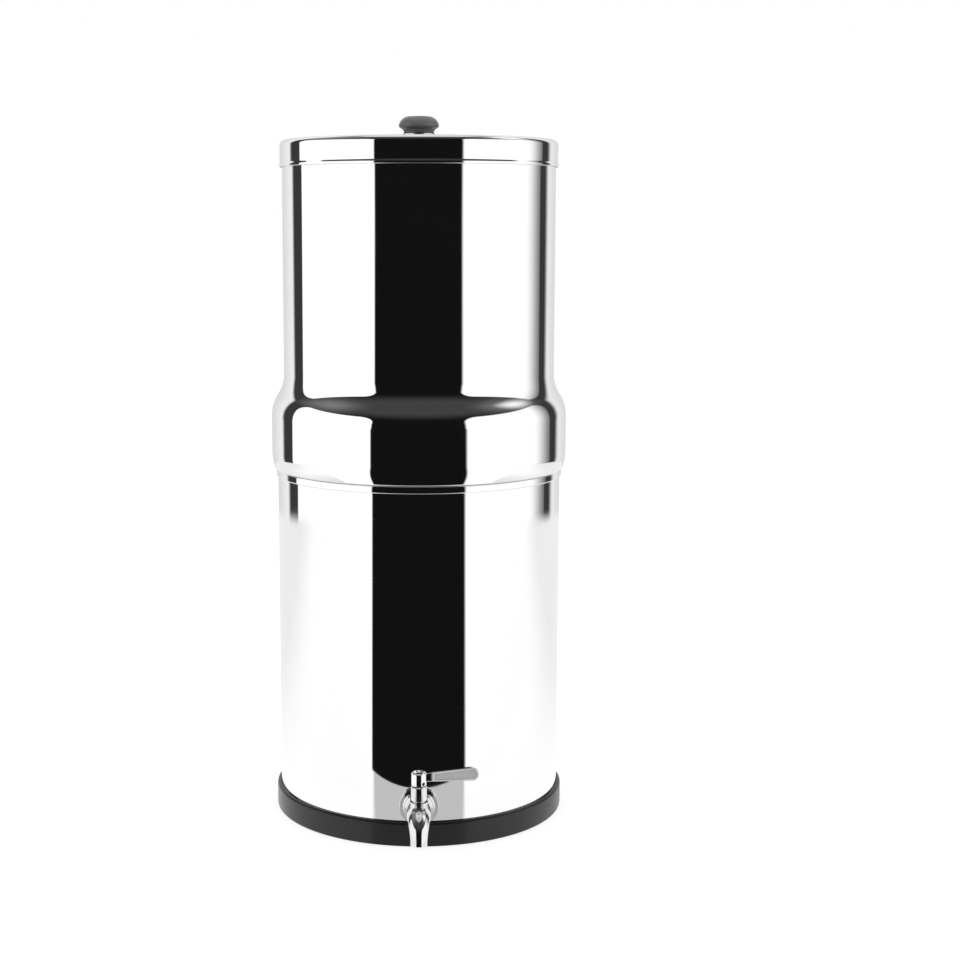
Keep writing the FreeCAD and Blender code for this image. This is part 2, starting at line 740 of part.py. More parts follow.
def bend_section(body, name, turn, radius):
    """A circle square to the elbow's centre line, at a turn in degrees along the bend."""
    rise = f"-bend_radius * (1 - cos({turn}))"
    lift = f"bend_start + bend_radius * sin({turn})"
    tilt = str(turn) if turn else None
    return circle(new_sketch(body, name, "XZ_Plane", lift=lift, rise=rise, tilt=tilt), radius)


def mouth_section(body, name, radius):
    """A circle at the spout's open end."""
    rise = f"-bend_radius * (1 - cos({ELBOW_TURN})) - spout_straight * sin({ELBOW_TURN})"
    lift = f"bend_start + bend_radius * sin({ELBOW_TURN}) + spout_straight * cos({ELBOW_TURN})"
    sketch = new_sketch(body, name, "XZ_Plane", lift=lift, rise=rise, tilt=str(ELBOW_TURN))
    return circle(sketch, radius)


def tap_body():
    """Cast elbow: round barrel, tapering spout turned down, boss for the bonnet, ball chamber and passage."""
    body = new_body("tap_body", z="tap_height")
    barrel = circle(new_sketch(body, "barrel", "XZ_Plane", lift="body_back"), "body_radius")
    pad(body, barrel, "bend_start - body_back")
    outer = [bend_section(body, f"elbow_{turn}", turn, radius) for turn, radius in ELBOW_STATIONS]
    outer.append(mouth_section(body, "mouth_rim", "spout_radius"))
    loft(body, outer, "PartDesign::AdditiveLoft")
    boss = new_sketch(body, "boss", "XY_Plane")
    circle(boss, "boss_radius", y="-column_forward")
    pad(body, boss, "boss_height")
    inner = [bend_section(body, f"passage_{turn}", turn, radius) for turn, radius in PASSAGE_STATIONS]
    inner.append(mouth_section(body, "mouth_bore", "mouth_radius"))
    loft(body, inner, "PartDesign::SubtractiveLoft")
    cavity = new_sketch(body, "ball_chamber", "XZ_Plane", lift="column_forward + seat_far")
    circle(cavity, "cavity_radius")
    pocket(body, cavity, "column_forward + seat_far - body_back + cut_margin")
    throat = new_sketch(body, "throat", "XZ_Plane", lift="column_forward + seat_far + throat_start")
    circle(throat, "passage_radius")
    pocket(body, throat, "throat_length")
    bore = new_sketch(body, "bonnet_hole", "XY_Plane", lift="boss_height + cut_margin")
    circle(bore, "bonnet_thread_radius + thread_play", y="-column_forward")
    pocket(body, bore, "boss_height + cut_margin")
    return body


def ball_seat(label, direction):
    """Soft ring with a hollow face for the ball, in front of it (direction 1) or behind it (-1)."""
    reach = "ball_radius + ball_play"
    near_radius = f"sqrt(({reach}) ^ 2 - seat_near ^ 2)"
    hollow = f"sqrt(({reach}) ^ 2 - seat_bore ^ 2)"
    turn = FORWARD if direction > 0 else Rotation(Vector(1, 0, 0), -90)
    return turned(label, [
        (near_radius, "seat_near", reach, 1),
        ("seat_bore", hollow),
        ("seat_bore", "seat_far"),
        ("seat_radius", "seat_far"),
        ("seat_radius", "seat_near"),
    ], y="-column_forward", z="tap_height", turn=turn)


def valve_ball():
    """Ball with a bore that lies across the flow while the tap is shut, and a slot for the stem's tang."""
    sphere = doc.addObject("Part::Sphere", "ball_blank")
    bind(sphere, "Radius", "ball_radius")
    place(sphere, y="-column_forward", z="tap_height")
    across = Rotation(Vector(0, 1, 0), 90)
    bore = cylinder("ball_cross_bore", "ball_bore", "4 * ball_radius", x="-2 * ball_radius",
                    y="-column_forward", z="tap_height", turn=across)
    bored = boolean("Part::Cut", "bored_ball", sphere, bore)
    slot = doc.addObject("Part::Box", "ball_slot")
    bind(slot, "Length", "slot_width")
    bind(slot, "Width", "4 * ball_radius")
    bind(slot, "Height", "ball_radius")
    place(slot, "-slot_width / 2", "-column_forward - 2 * ball_radius", "tap_height + slot_bottom")
    return boolean("Part::Cut", "valve_ball", bored, slot)


def bonnet():
    """Plain neck that screws into the boss and guides the stem."""
    return turned("tap_bonnet", [
        ("bonnet_bore", "bonnet_bottom"),
        ("bonnet_thread_radius", "bonnet_bottom"),
        ("bonnet_thread_radius", "boss_height"),
        ("bonnet_groove_radius", "boss_height"),
        ("bonnet_groove_radius", "boss_height + bonnet_groove"),
        ("bonnet_radius - bonnet_foot_edge", "boss_height + bonnet_groove"),
        ("bonnet_radius", "boss_height + bonnet_groove + bonnet_foot_edge"),
        ("bonnet_radius", "bonnet_top - bonnet_top_edge"),
        ("bonnet_radius - bonnet_top_edge", "bonnet_top"),
        ("bonnet_bore", "bonnet_top"),
    ], y="-column_forward", z="tap_height")


def valve_stem():
    """Shaft from the ball to the lever: tang, collar, two ring grooves and a flat for the grub screw."""
    shaft = [("0", "stem_collar_bottom"), ("stem_collar_radius", "stem_collar_bottom"),
             ("stem_collar_radius", "bonnet_bottom - stem_collar_play"),
             ("stem_shaft_radius", "bonnet_bottom - stem_collar_play")]
    for height in ("ring_lower_height", "ring_upper_height"):
        shaft += [("stem_shaft_radius", f"{height} - ring_groove_width / 2"),
                  ("ring_groove_radius", f"{height} - ring_groove_width / 2"),
                  ("ring_groove_radius", f"{height} + ring_groove_width / 2"),
                  ("stem_shaft_radius", f"{height} + ring_groove_width / 2")]
    shaft += [("stem_shaft_radius", "stem_top - stem_chamfer"),
              ("stem_shaft_radius - stem_chamfer", "stem_top"),
              ("0", "stem_top")]
    stem = turned("tap_stem", shaft, y="-column_forward", z="tap_height")
    tang = new_sketch(stem, "tang", "XY_Plane", lift="tang_bottom")
    outline(tang, [
        ("-tang_thick / 2", "-tang_width / 2"),
        ("tang_thick / 2", "-tang_width / 2"),
        ("tang_thick / 2", "tang_width / 2"),
        ("-tang_thick / 2", "tang_width / 2"),
    ])
    pad(stem, tang, "stem_collar_bottom - tang_bottom + tang_sink")
    flat = new_sketch(stem, "grub_flat", "XY_Plane", lift="stem_top + cut_margin", tilt="screw_angle",
                      tilt_axis=Vector(0, 0, 1))
    outline(flat, [
        ("-flat_cut_half", "-flat_cut_reach"),
        ("flat_cut_half", "-flat_cut_reach"),
        ("flat_cut_half", "-flat_reach"),
        ("-flat_cut_half", "-flat_reach"),
    ])
    pocket(stem, flat, "stem_top + cut_margin - flat_bottom")
    return stem


def stem_ring(label, height):
    """Rubber ring in one groove of the stem."""
    ring = doc.addObject("Part::Torus", label)
    ring.Label = label
    bind(ring, "Radius1", "ring_core_radius")
    bind(ring, "Radius2", "ring_section_radius")
    place(ring, y="-column_forward", z=f"tap_height + {height}")
    return ring


def paddle_corners(inset, start):
    """The lever's side view, drawn in by an inset from its edge."""
    tip = f"(paddle_tip_radius - {inset})"
    return [
        (start, f"paddle_root_bottom + {inset}"),
        ("paddle_tip_reach", f"paddle_tip_height - {tip}", tip, 1),
        (f"paddle_tip_reach + {tip}", "paddle_tip_height", tip, 1),
        ("paddle_tip_reach", f"paddle_tip_height + {tip}"),
    ]


def tap_lever():
    """Sleeve with a flat paddle: dished top, recessed panels on both faces and a hole for the grub screw."""
    lever = new_body("tap_lever", y="-column_forward", z="tap_height")
    section = new_sketch(lever, "sleeve_section", "XZ_Plane")
    outline(section, [
        ("0", "sleeve_bottom"),
        ("sleeve_radius - sleeve_foot_edge", "sleeve_bottom"),
        ("sleeve_radius", "sleeve_bottom + sleeve_foot_edge"),
        ("sleeve_radius", "sleeve_top - sleeve_top_edge"),
        ("sleeve_radius - sleeve_top_edge", "sleeve_top"),
        ("sleeve_dish_radius", "sleeve_top"),
        ("sleeve_bore + sleeve_dish_land", "sleeve_top - sleeve_dish_depth"),
        ("0", "sleeve_top - sleeve_dish_depth"),
    ])
    revolve(lever, section)
    side_view = new_sketch(lever, "paddle", "XZ_Plane")
    outline(side_view, paddle_corners("0", "paddle_root") + [
        ("paddle_shoulder", "paddle_shoulder_top"),
        ("paddle_root", "paddle_root_top"),
    ])
    arm = pad(lever, side_view, "paddle_thick", midplane=True)
    doc.recompute()
    shoulder = measure("paddle_shoulder") - EDGE_SLACK
    rim = [f"Edge{number}" for number, edge in enumerate(arm.Shape.Edges, start=1)
           if edge.BoundBox.XMax > shoulder and edge.BoundBox.YLength < EDGE_FLAT]
    soft = lever.newObject("PartDesign::Fillet", "paddle_edges")
    soft.Base = (arm, rim)
    bind(soft, "Radius", "paddle_edge_round")
    for label, lift in (("front_panel", "paddle_thick / 2 + cut_margin"),
                        ("back_panel", "-paddle_thick / 2 + paddle_recess")):
        panel = new_sketch(lever, label, "XZ_Plane", lift=lift)
        outline(panel, paddle_corners("paddle_rim", "paddle_panel_start") + [
            ("paddle_panel_start", "paddle_shoulder_top - paddle_rim"),
        ])
        pocket(lever, panel, "paddle_recess + cut_margin")
    bore = new_sketch(lever, "stem_hole", "XY_Plane", lift="sleeve_top")
    circle(bore, "sleeve_bore")
    pocket(lever, bore, "sleeve_top - sleeve_bottom + cut_margin")
    hole = new_sketch(lever, "grub_hole", "XZ_Plane")
    hole.AttachmentOffset = Placement(Vector(0, 0, 0), Rotation(Vector(0, 1, 0), measure("screw_angle")))
    bind(hole, "AttachmentOffset.Rotation.Angle", "screw_angle")
    bind(hole, "AttachmentOffset.Base.x", "(sleeve_radius + cut_margin) * sin(screw_angle)")
    bind(hole, "AttachmentOffset.Base.z", "(sleeve_radius + cut_margin) * cos(screw_angle)")
    circle(hole, "grub_hole_radius", y="grub_height")
    pocket(lever, hole, "sleeve_radius")
    return lever


def lever_screw():
    """Grub screw with a small socket, through the sleeve onto the stem's flat."""
    outward = Rotation(Vector(0, 0, 1), measure("screw_angle")) * FORWARD
    screw = turned("lever_screw", [
        ("0", "grub_inner"),
        ("grub_radius - grub_chamfer", "grub_inner"),
        ("grub_radius", "grub_inner + grub_chamfer"),
        ("grub_radius", "grub_outer"),
        ("grub_socket", "grub_outer"),
        ("grub_socket", "grub_outer - grub_socket_depth"),
        ("0", "grub_outer - grub_socket_depth"),
    ], y="-column_forward", z="tap_height + grub_height", turn=outward)
    return screw


parts += [base_tray(), lower_chamber(), upper_chamber(), lid()]
parts += knob_pieces()
parts += element("left", "-element_circle")
parts += element("right", "element_circle")
parts += [blanking_plug("front", "-element_circle"), blanking_plug("back", "element_circle")]
parts += wall_fittings()
parts += [tap_body(), ball_seat("front_ball_seat", 1), ball_seat("back_ball_seat", -1), valve_ball(), bonnet()]
parts += [valve_stem(), stem_ring("lower_stem_ring", "ring_lower_height"),
          stem_ring("upper_stem_ring", "ring_upper_height"), tap_lever(), lever_screw()]

doc.recompute()
for item in doc.Objects:
    if "Invalid" in item.State or "Error" in item.State:
        raise RuntimeError(f"{item.Label} failed: {item.State}")
for part in parts:
    if part.Shape.isNull() or not part.Shape.isValid():
        raise RuntimeError(f"{part.Label} has no valid shape")

os.makedirs("parts", exist_ok=True)
for part in parts:
    part.Shape.exportStep(f"parts/{part.Label}.step")
    box = part.Shape.BoundBox
    print(f"{part.Label}: {len(part.Shape.Solids)} solid, {part.Shape.Volume:.0f} mm3, "
          f"x {box.XMin:.1f}..{box.XMax:.1f} y {box.YMin:.1f}..{box.YMax:.1f} z {box.ZMin:.1f}..{box.ZMax:.1f}")
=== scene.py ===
# %% [markdown]
# Dressing a steel gravity water filter.
# The real object is two mirror-polished steel cans stacked on a rubber tray, closed by a
# shallow lid with a plastic knob, and drained by a small quarter-turn tap.
# The solids are already placed, true to size, so this lesson only gives them their looks:
# smooth turned shells, finishes, a studio that polished steel can reflect, and a camera.

import math

import bmesh
import bpy
from mathutils import Matrix, Vector


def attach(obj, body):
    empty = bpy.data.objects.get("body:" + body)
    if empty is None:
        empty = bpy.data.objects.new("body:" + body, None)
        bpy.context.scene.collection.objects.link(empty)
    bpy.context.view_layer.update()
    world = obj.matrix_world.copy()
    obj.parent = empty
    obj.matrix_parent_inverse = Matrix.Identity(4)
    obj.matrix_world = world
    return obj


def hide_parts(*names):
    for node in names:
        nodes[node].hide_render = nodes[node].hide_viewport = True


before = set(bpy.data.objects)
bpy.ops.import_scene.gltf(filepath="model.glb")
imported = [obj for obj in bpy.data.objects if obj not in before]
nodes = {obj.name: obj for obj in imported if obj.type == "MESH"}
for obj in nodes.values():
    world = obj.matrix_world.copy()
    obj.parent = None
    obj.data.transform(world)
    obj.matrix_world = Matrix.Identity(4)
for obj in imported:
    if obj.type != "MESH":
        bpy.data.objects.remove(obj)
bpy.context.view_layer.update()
MM = 0.001

# %% [markdown]
# The camera stands in front of the tap, a metre and a half away, with its lens a little
# below the lid and tilted down, so the lid's top stays hidden and the tray's rim curves down.
# A small sideways shift puts the vessel left of the middle without turning the camera,
# which would slant the walls.

# %% Camera
VIEW_DISTANCE = 1.4984
VIEW_HEIGHT = 0.5029
VIEW_PITCH = math.radians(8.35)
VIEW_FOCAL_PIXELS = 1767.4
VIEW_SHIFT_PIXELS = 61.1
IMAGE_PIXELS = 960.0
NEAREST_SEEN = 0.01

camera_data = bpy.data.cameras.new("studio_camera")
camera_data.sensor_width = 36.0
camera_data.lens = VIEW_FOCAL_PIXELS / IMAGE_PIXELS * camera_data.sensor_width
camera_data.shift_x = VIEW_SHIFT_PIXELS / IMAGE_PIXELS
camera_data.clip_start = NEAREST_SEEN
camera = bpy.data.objects.new("studio_camera", camera_data)
bpy.context.scene.collection.objects.link(camera)
camera.location = (0.0, -VIEW_DISTANCE, VIEW_HEIGHT)
camera.rotation_euler = (math.pi / 2 - VIEW_PITCH, 0.0, 0.0)
bpy.context.scene.camera = camera
bpy.context.scene.view_settings.view_transform = "Standard"
print("lens:", round(camera_data.lens, 1), "mm")

# %% [markdown]
# Finishes are built from nodes, so a few short helpers keep every later cell readable.
# They add a node, join two sockets, and do the arithmetic that comes up again and again: a
# sum, a smooth step, a blend of two values, a distance from the middle line.
# Nothing here decides a look; it only saves typing.

# %% Node helpers
def add_node(tree, kind, **settings):
    """A shader node with its options and input values set by name."""
    node = tree.nodes.new(kind)
    for key, value in settings.items():
        if hasattr(node, key):
            setattr(node, key, value)
        else:
            node.inputs[key.replace("_", " ")].default_value = value
    return node


def join(tree, source, target):
    tree.links.new(source, target)


def feed(tree, term, target):
    """Give an input a number, or join a socket to it."""
    if isinstance(term, (int, float)):
        target.default_value = term
    else:
        join(tree, term, target)


def sums(tree, operation, first, second=0.0, third=0.0, clamp=False):
    """One arithmetic step; each term is a socket or a number."""
    node = add_node(tree, "ShaderNodeMath", operation=operation, use_clamp=clamp)
    for place, term in enumerate((first, second, third)):
        feed(tree, term, node.inputs[place])
    return node.outputs[0]


def fade(tree, value, start, end, low=0.0, high=1.0):
    """A smooth step from low to high while value goes from start to end."""
    node = add_node(tree, "ShaderNodeMapRange", interpolation_type="SMOOTHSTEP", From_Min=start,
                    From_Max=end, To_Min=low, To_Max=high)
    join(tree, value, node.inputs["Value"])
    return node.outputs["Result"]


def between(tree, factor, first, second):
    """The first value where factor is 0, the second where it is 1."""
    node = add_node(tree, "ShaderNodeMix", data_type="FLOAT")
    join(tree, factor, node.inputs["Factor"])
    feed(tree, first, node.inputs["A"])
    feed(tree, second, node.inputs["B"])
    return node.outputs["Result"]


def split(tree, vector):
    """The x, y and z of a vector socket."""
    node = add_node(tree, "ShaderNodeSeparateXYZ")
    join(tree, vector, node.inputs[0])
    return node.outputs


def flat_length(tree, x, y):
    """How far x, y is from nought."""
    squares = sums(tree, "MULTIPLY_ADD", x, x, sums(tree, "MULTIPLY", y, y))
    return sums(tree, "SQRT", squares)


def mix_shaders(tree, factor, first, second):
    node = add_node(tree, "ShaderNodeMixShader")
    for place, source in enumerate((factor, first, second)):
        join(tree, source, node.inputs[place])
    return node.outputs[0]


def new_group(name, inputs, outputs):
    """An empty shader node group with named number sockets."""
    group = bpy.data.node_groups.new(name, "ShaderNodeTree")
    for label, default in inputs:
        socket = group.interface.new_socket(label, in_out="INPUT", socket_type="NodeSocketFloat")
        socket.default_value = default
    for label in outputs:
        group.interface.new_socket(label, in_out="OUTPUT", socket_type="NodeSocketFloat")
    start = group.nodes.new("NodeGroupInput")
    end = group.nodes.new("NodeGroupOutput")
    return group, start.outputs, end.inputs


def use_group(tree, group, **values):
    return add_node(tree, "ShaderNodeGroup", node_tree=group, **values)


print("node helpers ready")

# %% [markdown]
# Polished steel shows its surroundings, so the studio itself is half of the finish.
# This studio has two tall white soft boxes, left and right, a black screen round the
# camera and a narrow dark gap behind each box. It can be built from cards, or painted
# by direction on the world. The world is chosen here: it reaches every side of the object,
# adds no noise, and leaves nothing standing in another camera's way.
# Only mirror reflections see the screens. The camera sees plain white behind the object.

# %% The studio as a world
# Strengths, where 1 is white
BOX_LIGHT = 1.12
BOX_FAR_LIGHT = 0.12
SCREEN_DARK = 0.006
GAP_DARK = 0.035
BACKDROP = 0.92
BACKDROP_DEEP = 0.74
BACKDROP_HIGH = 0.2
CEILING_FRONT = 0.05
CEILING_SIDE = 0.20
ZENITH_LIGHT = 0.55
SOFT_FILL = 0.72
# Directions in degrees: turn runs round from the camera, rise up from level
BOX_TOP = 27.0
BOX_CORNER = 13.0
BOX_DIMS = (98.0, 124.0)
SCREEN_LEAN = 0.12
SIDEWAYS = (40.0, 110.0)
BACKDROP_DEEPENS = (128.0, 160.0)
BACKDROP_ENDS = (46.0, 62.0)
CEILING_STARTS = (20.0, 45.0)
ZENITH_STARTS = (60.0, 70.0)
LAMP_TURN, LAMP_WIDTH = 104.0, 17.0
LAMP_RISE, LAMP_HEIGHT = 46.0, 13.0
LAMP_EDGE = (0.3, 1.7)

world = bpy.data.worlds.new("soft_box_studio")
bpy.context.scene.world = world
world.use_nodes = True
studio = world.node_tree
studio.nodes.clear()
side_x, depth_y, rise_z = split(studio, add_node(studio, "ShaderNodeTexCoord").outputs["Generated"])
to_front = sums(studio, "MULTIPLY", depth_y, -1.0)
turn_deg = sums(studio, "MULTIPLY", sums(studio, "ARCTAN2", side_x, to_front), math.degrees(1))
rise_deg = sums(studio, "MULTIPLY", sums(studio, "ARCSINE", rise_z), math.degrees(1))
turn_left = sums(studio, "MULTIPLY", turn_deg, -1.0)
turn_off = sums(studio, "ABSOLUTE", turn_deg)


def box_side(turn, near, far, soft, back, back_soft):
    """A white box with round corners between near and far, and the pale backdrop from back on."""
    # The screen reaches a little further round where the view runs down to the table
    lean = sums(studio, "MULTIPLY_ADD", sums(studio, "MINIMUM", rise_deg, 0.0), SCREEN_LEAN, turn)
    off_middle = sums(studio, "ABSOLUTE", sums(studio, "SUBTRACT", lean, (near + far) / 2))
    beyond_side = sums(studio, "SUBTRACT", off_middle, (far - near) / 2 - BOX_CORNER)
    beyond_top = sums(studio, "SUBTRACT", rise_deg, BOX_TOP - BOX_CORNER)
    corner_reach = flat_length(studio, sums(studio, "MAXIMUM", beyond_side, 0.0),
                               sums(studio, "MAXIMUM", beyond_top, 0.0))
    inner_reach = sums(studio, "MINIMUM", sums(studio, "MAXIMUM", beyond_side, beyond_top), 0.0)
    reach = sums(studio, "ADD", corner_reach, inner_reach)
    box = fade(studio, reach, BOX_CORNER - soft, BOX_CORNER + soft, 1.0, 0.0)
    backdrop = fade(studio, turn, back - back_soft, back + back_soft)
    return box, backdrop


box_left, back_left = box_side(turn_left, near=36.4, far=114.0, soft=0.6, back=130.5, back_soft=3.0)
box_right, back_right = box_side(turn_deg, near=36.0, far=121.0, soft=1.4, back=135.0, back_soft=5.0)
# The right box loses light towards its far side
right_light = fade(studio, turn_deg, *BOX_DIMS, 1.0, BOX_FAR_LIGHT)
boxes = sums(studio, "MULTIPLY_ADD", box_right, right_light, box_left)
backs = sums(studio, "ADD", back_left, back_right)
off_front = fade(studio, turn_off, *SIDEWAYS)
backdrop_light = fade(studio, turn_off, *BACKDROP_DEEPENS, BACKDROP, BACKDROP_DEEP)
backs_lit = sums(studio, "MULTIPLY", sums(studio, "MULTIPLY", backs, backdrop_light),
                 fade(studio, rise_deg, *BACKDROP_ENDS, 1.0, BACKDROP_HIGH))
# The ceiling greys towards the sides, with one bright lamp high on the right
overhead = sums(studio, "MULTIPLY", fade(studio, rise_deg, *CEILING_STARTS),
                fade(studio, off_front, 0.0, 1.0, CEILING_FRONT, CEILING_SIDE))
zenith = fade(studio, rise_deg, *ZENITH_STARTS, 0.0, ZENITH_LIGHT)
lamp_turn = sums(studio, "DIVIDE", sums(studio, "SUBTRACT", turn_deg, LAMP_TURN), LAMP_WIDTH)
lamp_rise = sums(studio, "DIVIDE", sums(studio, "SUBTRACT", rise_deg, LAMP_RISE), LAMP_HEIGHT)
high_lamp = fade(studio, flat_length(studio, lamp_turn, lamp_rise), *LAMP_EDGE, 1.0, 0.0)
in_gap = sums(studio, "SUBTRACT", 1.0, sums(studio, "ADD", boxes, backs, clamp=True), clamp=True)
gap_light = sums(studio, "MULTIPLY", sums(studio, "MULTIPLY", in_gap, off_front), GAP_DARK)
mirror_light = sums(studio, "MULTIPLY_ADD", boxes, BOX_LIGHT, SCREEN_DARK)
for extra in (backs_lit, overhead, high_lamp, gap_light, zenith):
    mirror_light = sums(studio, "ADD", mirror_light, extra)

paths = add_node(studio, "ShaderNodeLightPath").outputs
glassy = sums(studio, "ADD", paths["Is Glossy Ray"], paths["Is Transmission Ray"], clamp=True)
seen = sums(studio, "ADD", paths["Is Camera Ray"], glassy, clamp=True)
mirror_or_white = between(studio, glassy, 1.0, mirror_light)
background = add_node(studio, "ShaderNodeBackground", Color=(1.0, 1.0, 1.0, 1.0))
join(studio, between(studio, seen, SOFT_FILL, mirror_or_white), background.inputs["Strength"])
join(studio, background.outputs[0], add_node(studio, "ShaderNodeOutputWorld").inputs["Surface"])
print("world nodes:", len(studio.nodes))

# %% [markdown]
# The floor is a plain white table. Seen directly it is white with a soft shadow under the
# tray. Seen in the steel it glows with painted light: a painted shadow of the black screen
# makes its part in front of the screen a light grey, a painted sheen brightens it where the
# view skims it, and painted shade darkens it behind the vessel. The table ends a hand's width
# before the tap, so the dark strip on the lower can ends in an arc.
# One plane does it: its material asks which kind of ray is looking.

# %% Floor
FLOOR_HALF = 12.0
TABLE_EDGE_Y = -0.267
TABLE_REACH = 1.5
TABLE_REACH_SOFT = 0.15
# Glow strengths in the steel, all painted light: the painted shadow before the screen, a steep view near,
# the painted sheen of a skimming view far off, the painted shade behind the vessel
TABLE_SCREEN_SHADOW_PAINTED = 0.56
TABLE_STEEP = 0.80
TABLE_SKIM_SHEEN_PAINTED = 1.08
TABLE_BEHIND_SHADE_PAINTED = 0.84
SKIM = (0.38, 0.66)
BEHIND_Y = (-0.05, 0.50)
# Shape and soft edge of the painted shadow of the black screen on the table, seen only in the steel
SCREEN_EDGE_TANGENT = math.tan(math.radians(37.2))
SCREEN_CORNER_X = 0.0366
SCREEN_CORNER_Y = -0.1145
SCREEN_SOFT = 0.006
SCREEN_FOOT_Y = (-0.11, -0.09)
HAIR = 0.001
PAPER_GREY = 0.45
PAPER_LIFT = 0.70
BOUNCE_GREY = 0.7


def grey(value):
    return (value, value, value, 1.0)


floor_mesh = bmesh.new()
bmesh.ops.create_grid(floor_mesh, x_segments=2, y_segments=2, size=FLOOR_HALF)
floor_data = bpy.data.meshes.new("table")
floor_mesh.to_mesh(floor_data)
floor_mesh.free()
floor = bpy.data.objects.new("table", floor_data)
bpy.context.scene.collection.objects.link(floor)

table_white = bpy.data.materials.new("table_white")
table_white.use_nodes = True
tree = table_white.node_tree
tree.nodes.clear()
table_x, table_y = split(tree, add_node(tree, "ShaderNodeNewGeometry").outputs["Position"])[:2]
# Painted shadow of the black screen on the table, seen only in the steel: grey in the wedge in front of the
# screen, lighter beside it
half_width = sums(tree, "MULTIPLY_ADD", sums(tree, "SUBTRACT", SCREEN_CORNER_Y, table_y),
                  SCREEN_EDGE_TANGENT, SCREEN_CORNER_X)
outside = sums(tree, "SUBTRACT", sums(tree, "ABSOLUTE", table_x), half_width)
beside = sums(tree, "MAXIMUM", fade(tree, outside, -SCREEN_SOFT, SCREEN_SOFT),
              fade(tree, table_y, *SCREEN_FOOT_Y))
# Painted sheen and shade: beside the screen the table glows brighter where the view skims it, and a little
# darker behind the vessel
skim = add_node(tree, "ShaderNodeLayerWeight", Blend=0.5).outputs["Facing"]
painted_table_light = sums(tree, "MULTIPLY", fade(tree, skim, *SKIM, TABLE_STEEP, TABLE_SKIM_SHEEN_PAINTED),
                    fade(tree, table_y, *BEHIND_Y, 1.0, TABLE_BEHIND_SHADE_PAINTED))
# In the steel the table is not lit: it glows with this painted light and painted shadow
table_glow = add_node(tree, "ShaderNodeEmission")
join(tree, between(tree, beside, TABLE_SCREEN_SHADOW_PAINTED, painted_table_light), table_glow.inputs["Strength"])
on_table = sums(tree, "MULTIPLY", fade(tree, table_y, TABLE_EDGE_Y - HAIR, TABLE_EDGE_Y + HAIR),
                fade(tree, flat_length(tree, table_x, table_y), TABLE_REACH,
                     TABLE_REACH + TABLE_REACH_SOFT, 1.0, 0.0))
past_table = add_node(tree, "ShaderNodeBsdfTransparent")
table_in_mirror = mix_shaders(tree, on_table, past_table.outputs[0], table_glow.outputs[0])
table_seen = add_node(tree, "ShaderNodeAddShader")
table_paper = add_node(tree, "ShaderNodeBsdfDiffuse", Color=grey(PAPER_GREY))
table_lift = add_node(tree, "ShaderNodeEmission", Strength=PAPER_LIFT)
join(tree, table_paper.outputs[0], table_seen.inputs[0])
join(tree, table_lift.outputs[0], table_seen.inputs[1])
plain_paper = add_node(tree, "ShaderNodeBsdfDiffuse", Color=grey(BOUNCE_GREY))
table_rays = add_node(tree, "ShaderNodeLightPath").outputs
for_camera = mix_shaders(tree, table_rays["Is Camera Ray"], plain_paper.outputs[0], table_seen.outputs[0])
for_mirror = mix_shaders(tree, table_rays["Is Glossy Ray"], for_camera, table_in_mirror)
join(tree, for_mirror, add_node(tree, "ShaderNodeOutputMaterial").inputs["Surface"])
floor_data.materials.append(table_white)
print("floor:", floor.name, "edge seen in the steel at y", TABLE_EDGE_Y)

# %% [markdown]
# Plastic, rubber and the floor's shadow need real lamps. Two large area lamps stand where the
# soft boxes are and a weaker one hangs above. They are left out of mirror reflections,
# because the world already shows the boxes there.

# %% Lamps
AIM = Vector((0.0, 0.0, 0.28))


def soft_lamp(name, place, size, watts):
    """A rectangular lamp that looks at the middle of the vessel and shows in no mirror."""
    lamp_data = bpy.data.lights.new(name, "AREA")
    lamp_data.shape = "RECTANGLE"
    lamp_data.size, lamp_data.size_y = size
    lamp_data.energy = watts
    lamp = bpy.data.objects.new(name, lamp_data)
    bpy.context.scene.collection.objects.link(lamp)
    lamp.location = place
    lamp.rotation_euler = (AIM - Vector(place)).to_track_quat("-Z", "Y").to_euler()
    lamp.visible_glossy = False
    lamp.visible_camera = False


soft_lamp("left_box", (-1.6, -0.9, 1.0), size=(1.0, 1.4), watts=9.0)
soft_lamp("right_box", (1.6, -0.9, 1.0), size=(1.0, 1.4), watts=9.0)
soft_lamp("top_box", (0.0, 0.2, 2.0), size=(1.2, 1.2), watts=7.0)
print("lamps:", len(bpy.data.lights))

# %% [markdown]
# Some effects belong to several finishes, so each is one node group with its own dials.
# Handling marks: even wiped metal and plastic is not equally shiny everywhere. Broad soft
# patches and a few finer smears change the roughness, which can be painted, photographed or,
# as here, grown from noise on the object's own coordinates.

# %% Handling marks
SMEARS_FINER = 7.0
BROAD_SHARE = 0.65
FINE_SHARE = 0.35
marks_group, marks_in, marks_out = new_group(
    "handling_marks", [("Size", 9.0), ("Clean", 0.04), ("Handled", 0.09)], ["Roughness", "Mask"])
marks_place = add_node(marks_group, "ShaderNodeTexCoord").outputs["Object"]
broad = add_node(marks_group, "ShaderNodeTexNoise", Detail=3.0, Roughness=0.55, Distortion=0.6)
join(marks_group, marks_place, broad.inputs["Vector"])
join(marks_group, marks_in["Size"], broad.inputs["Scale"])
fine = add_node(marks_group, "ShaderNodeTexNoise", Detail=5.0, Roughness=0.7)
join(marks_group, marks_place, fine.inputs["Vector"])
join(marks_group, sums(marks_group, "MULTIPLY", marks_in["Size"], SMEARS_FINER), fine.inputs["Scale"])
broad_mask = fade(marks_group, broad.outputs[0], 0.42, 0.68)
fine_mask = fade(marks_group, fine.outputs[0], 0.45, 0.75)
mark_mask = sums(marks_group, "MULTIPLY_ADD", fine_mask, FINE_SHARE,
                 sums(marks_group, "MULTIPLY", broad_mask, BROAD_SHARE))
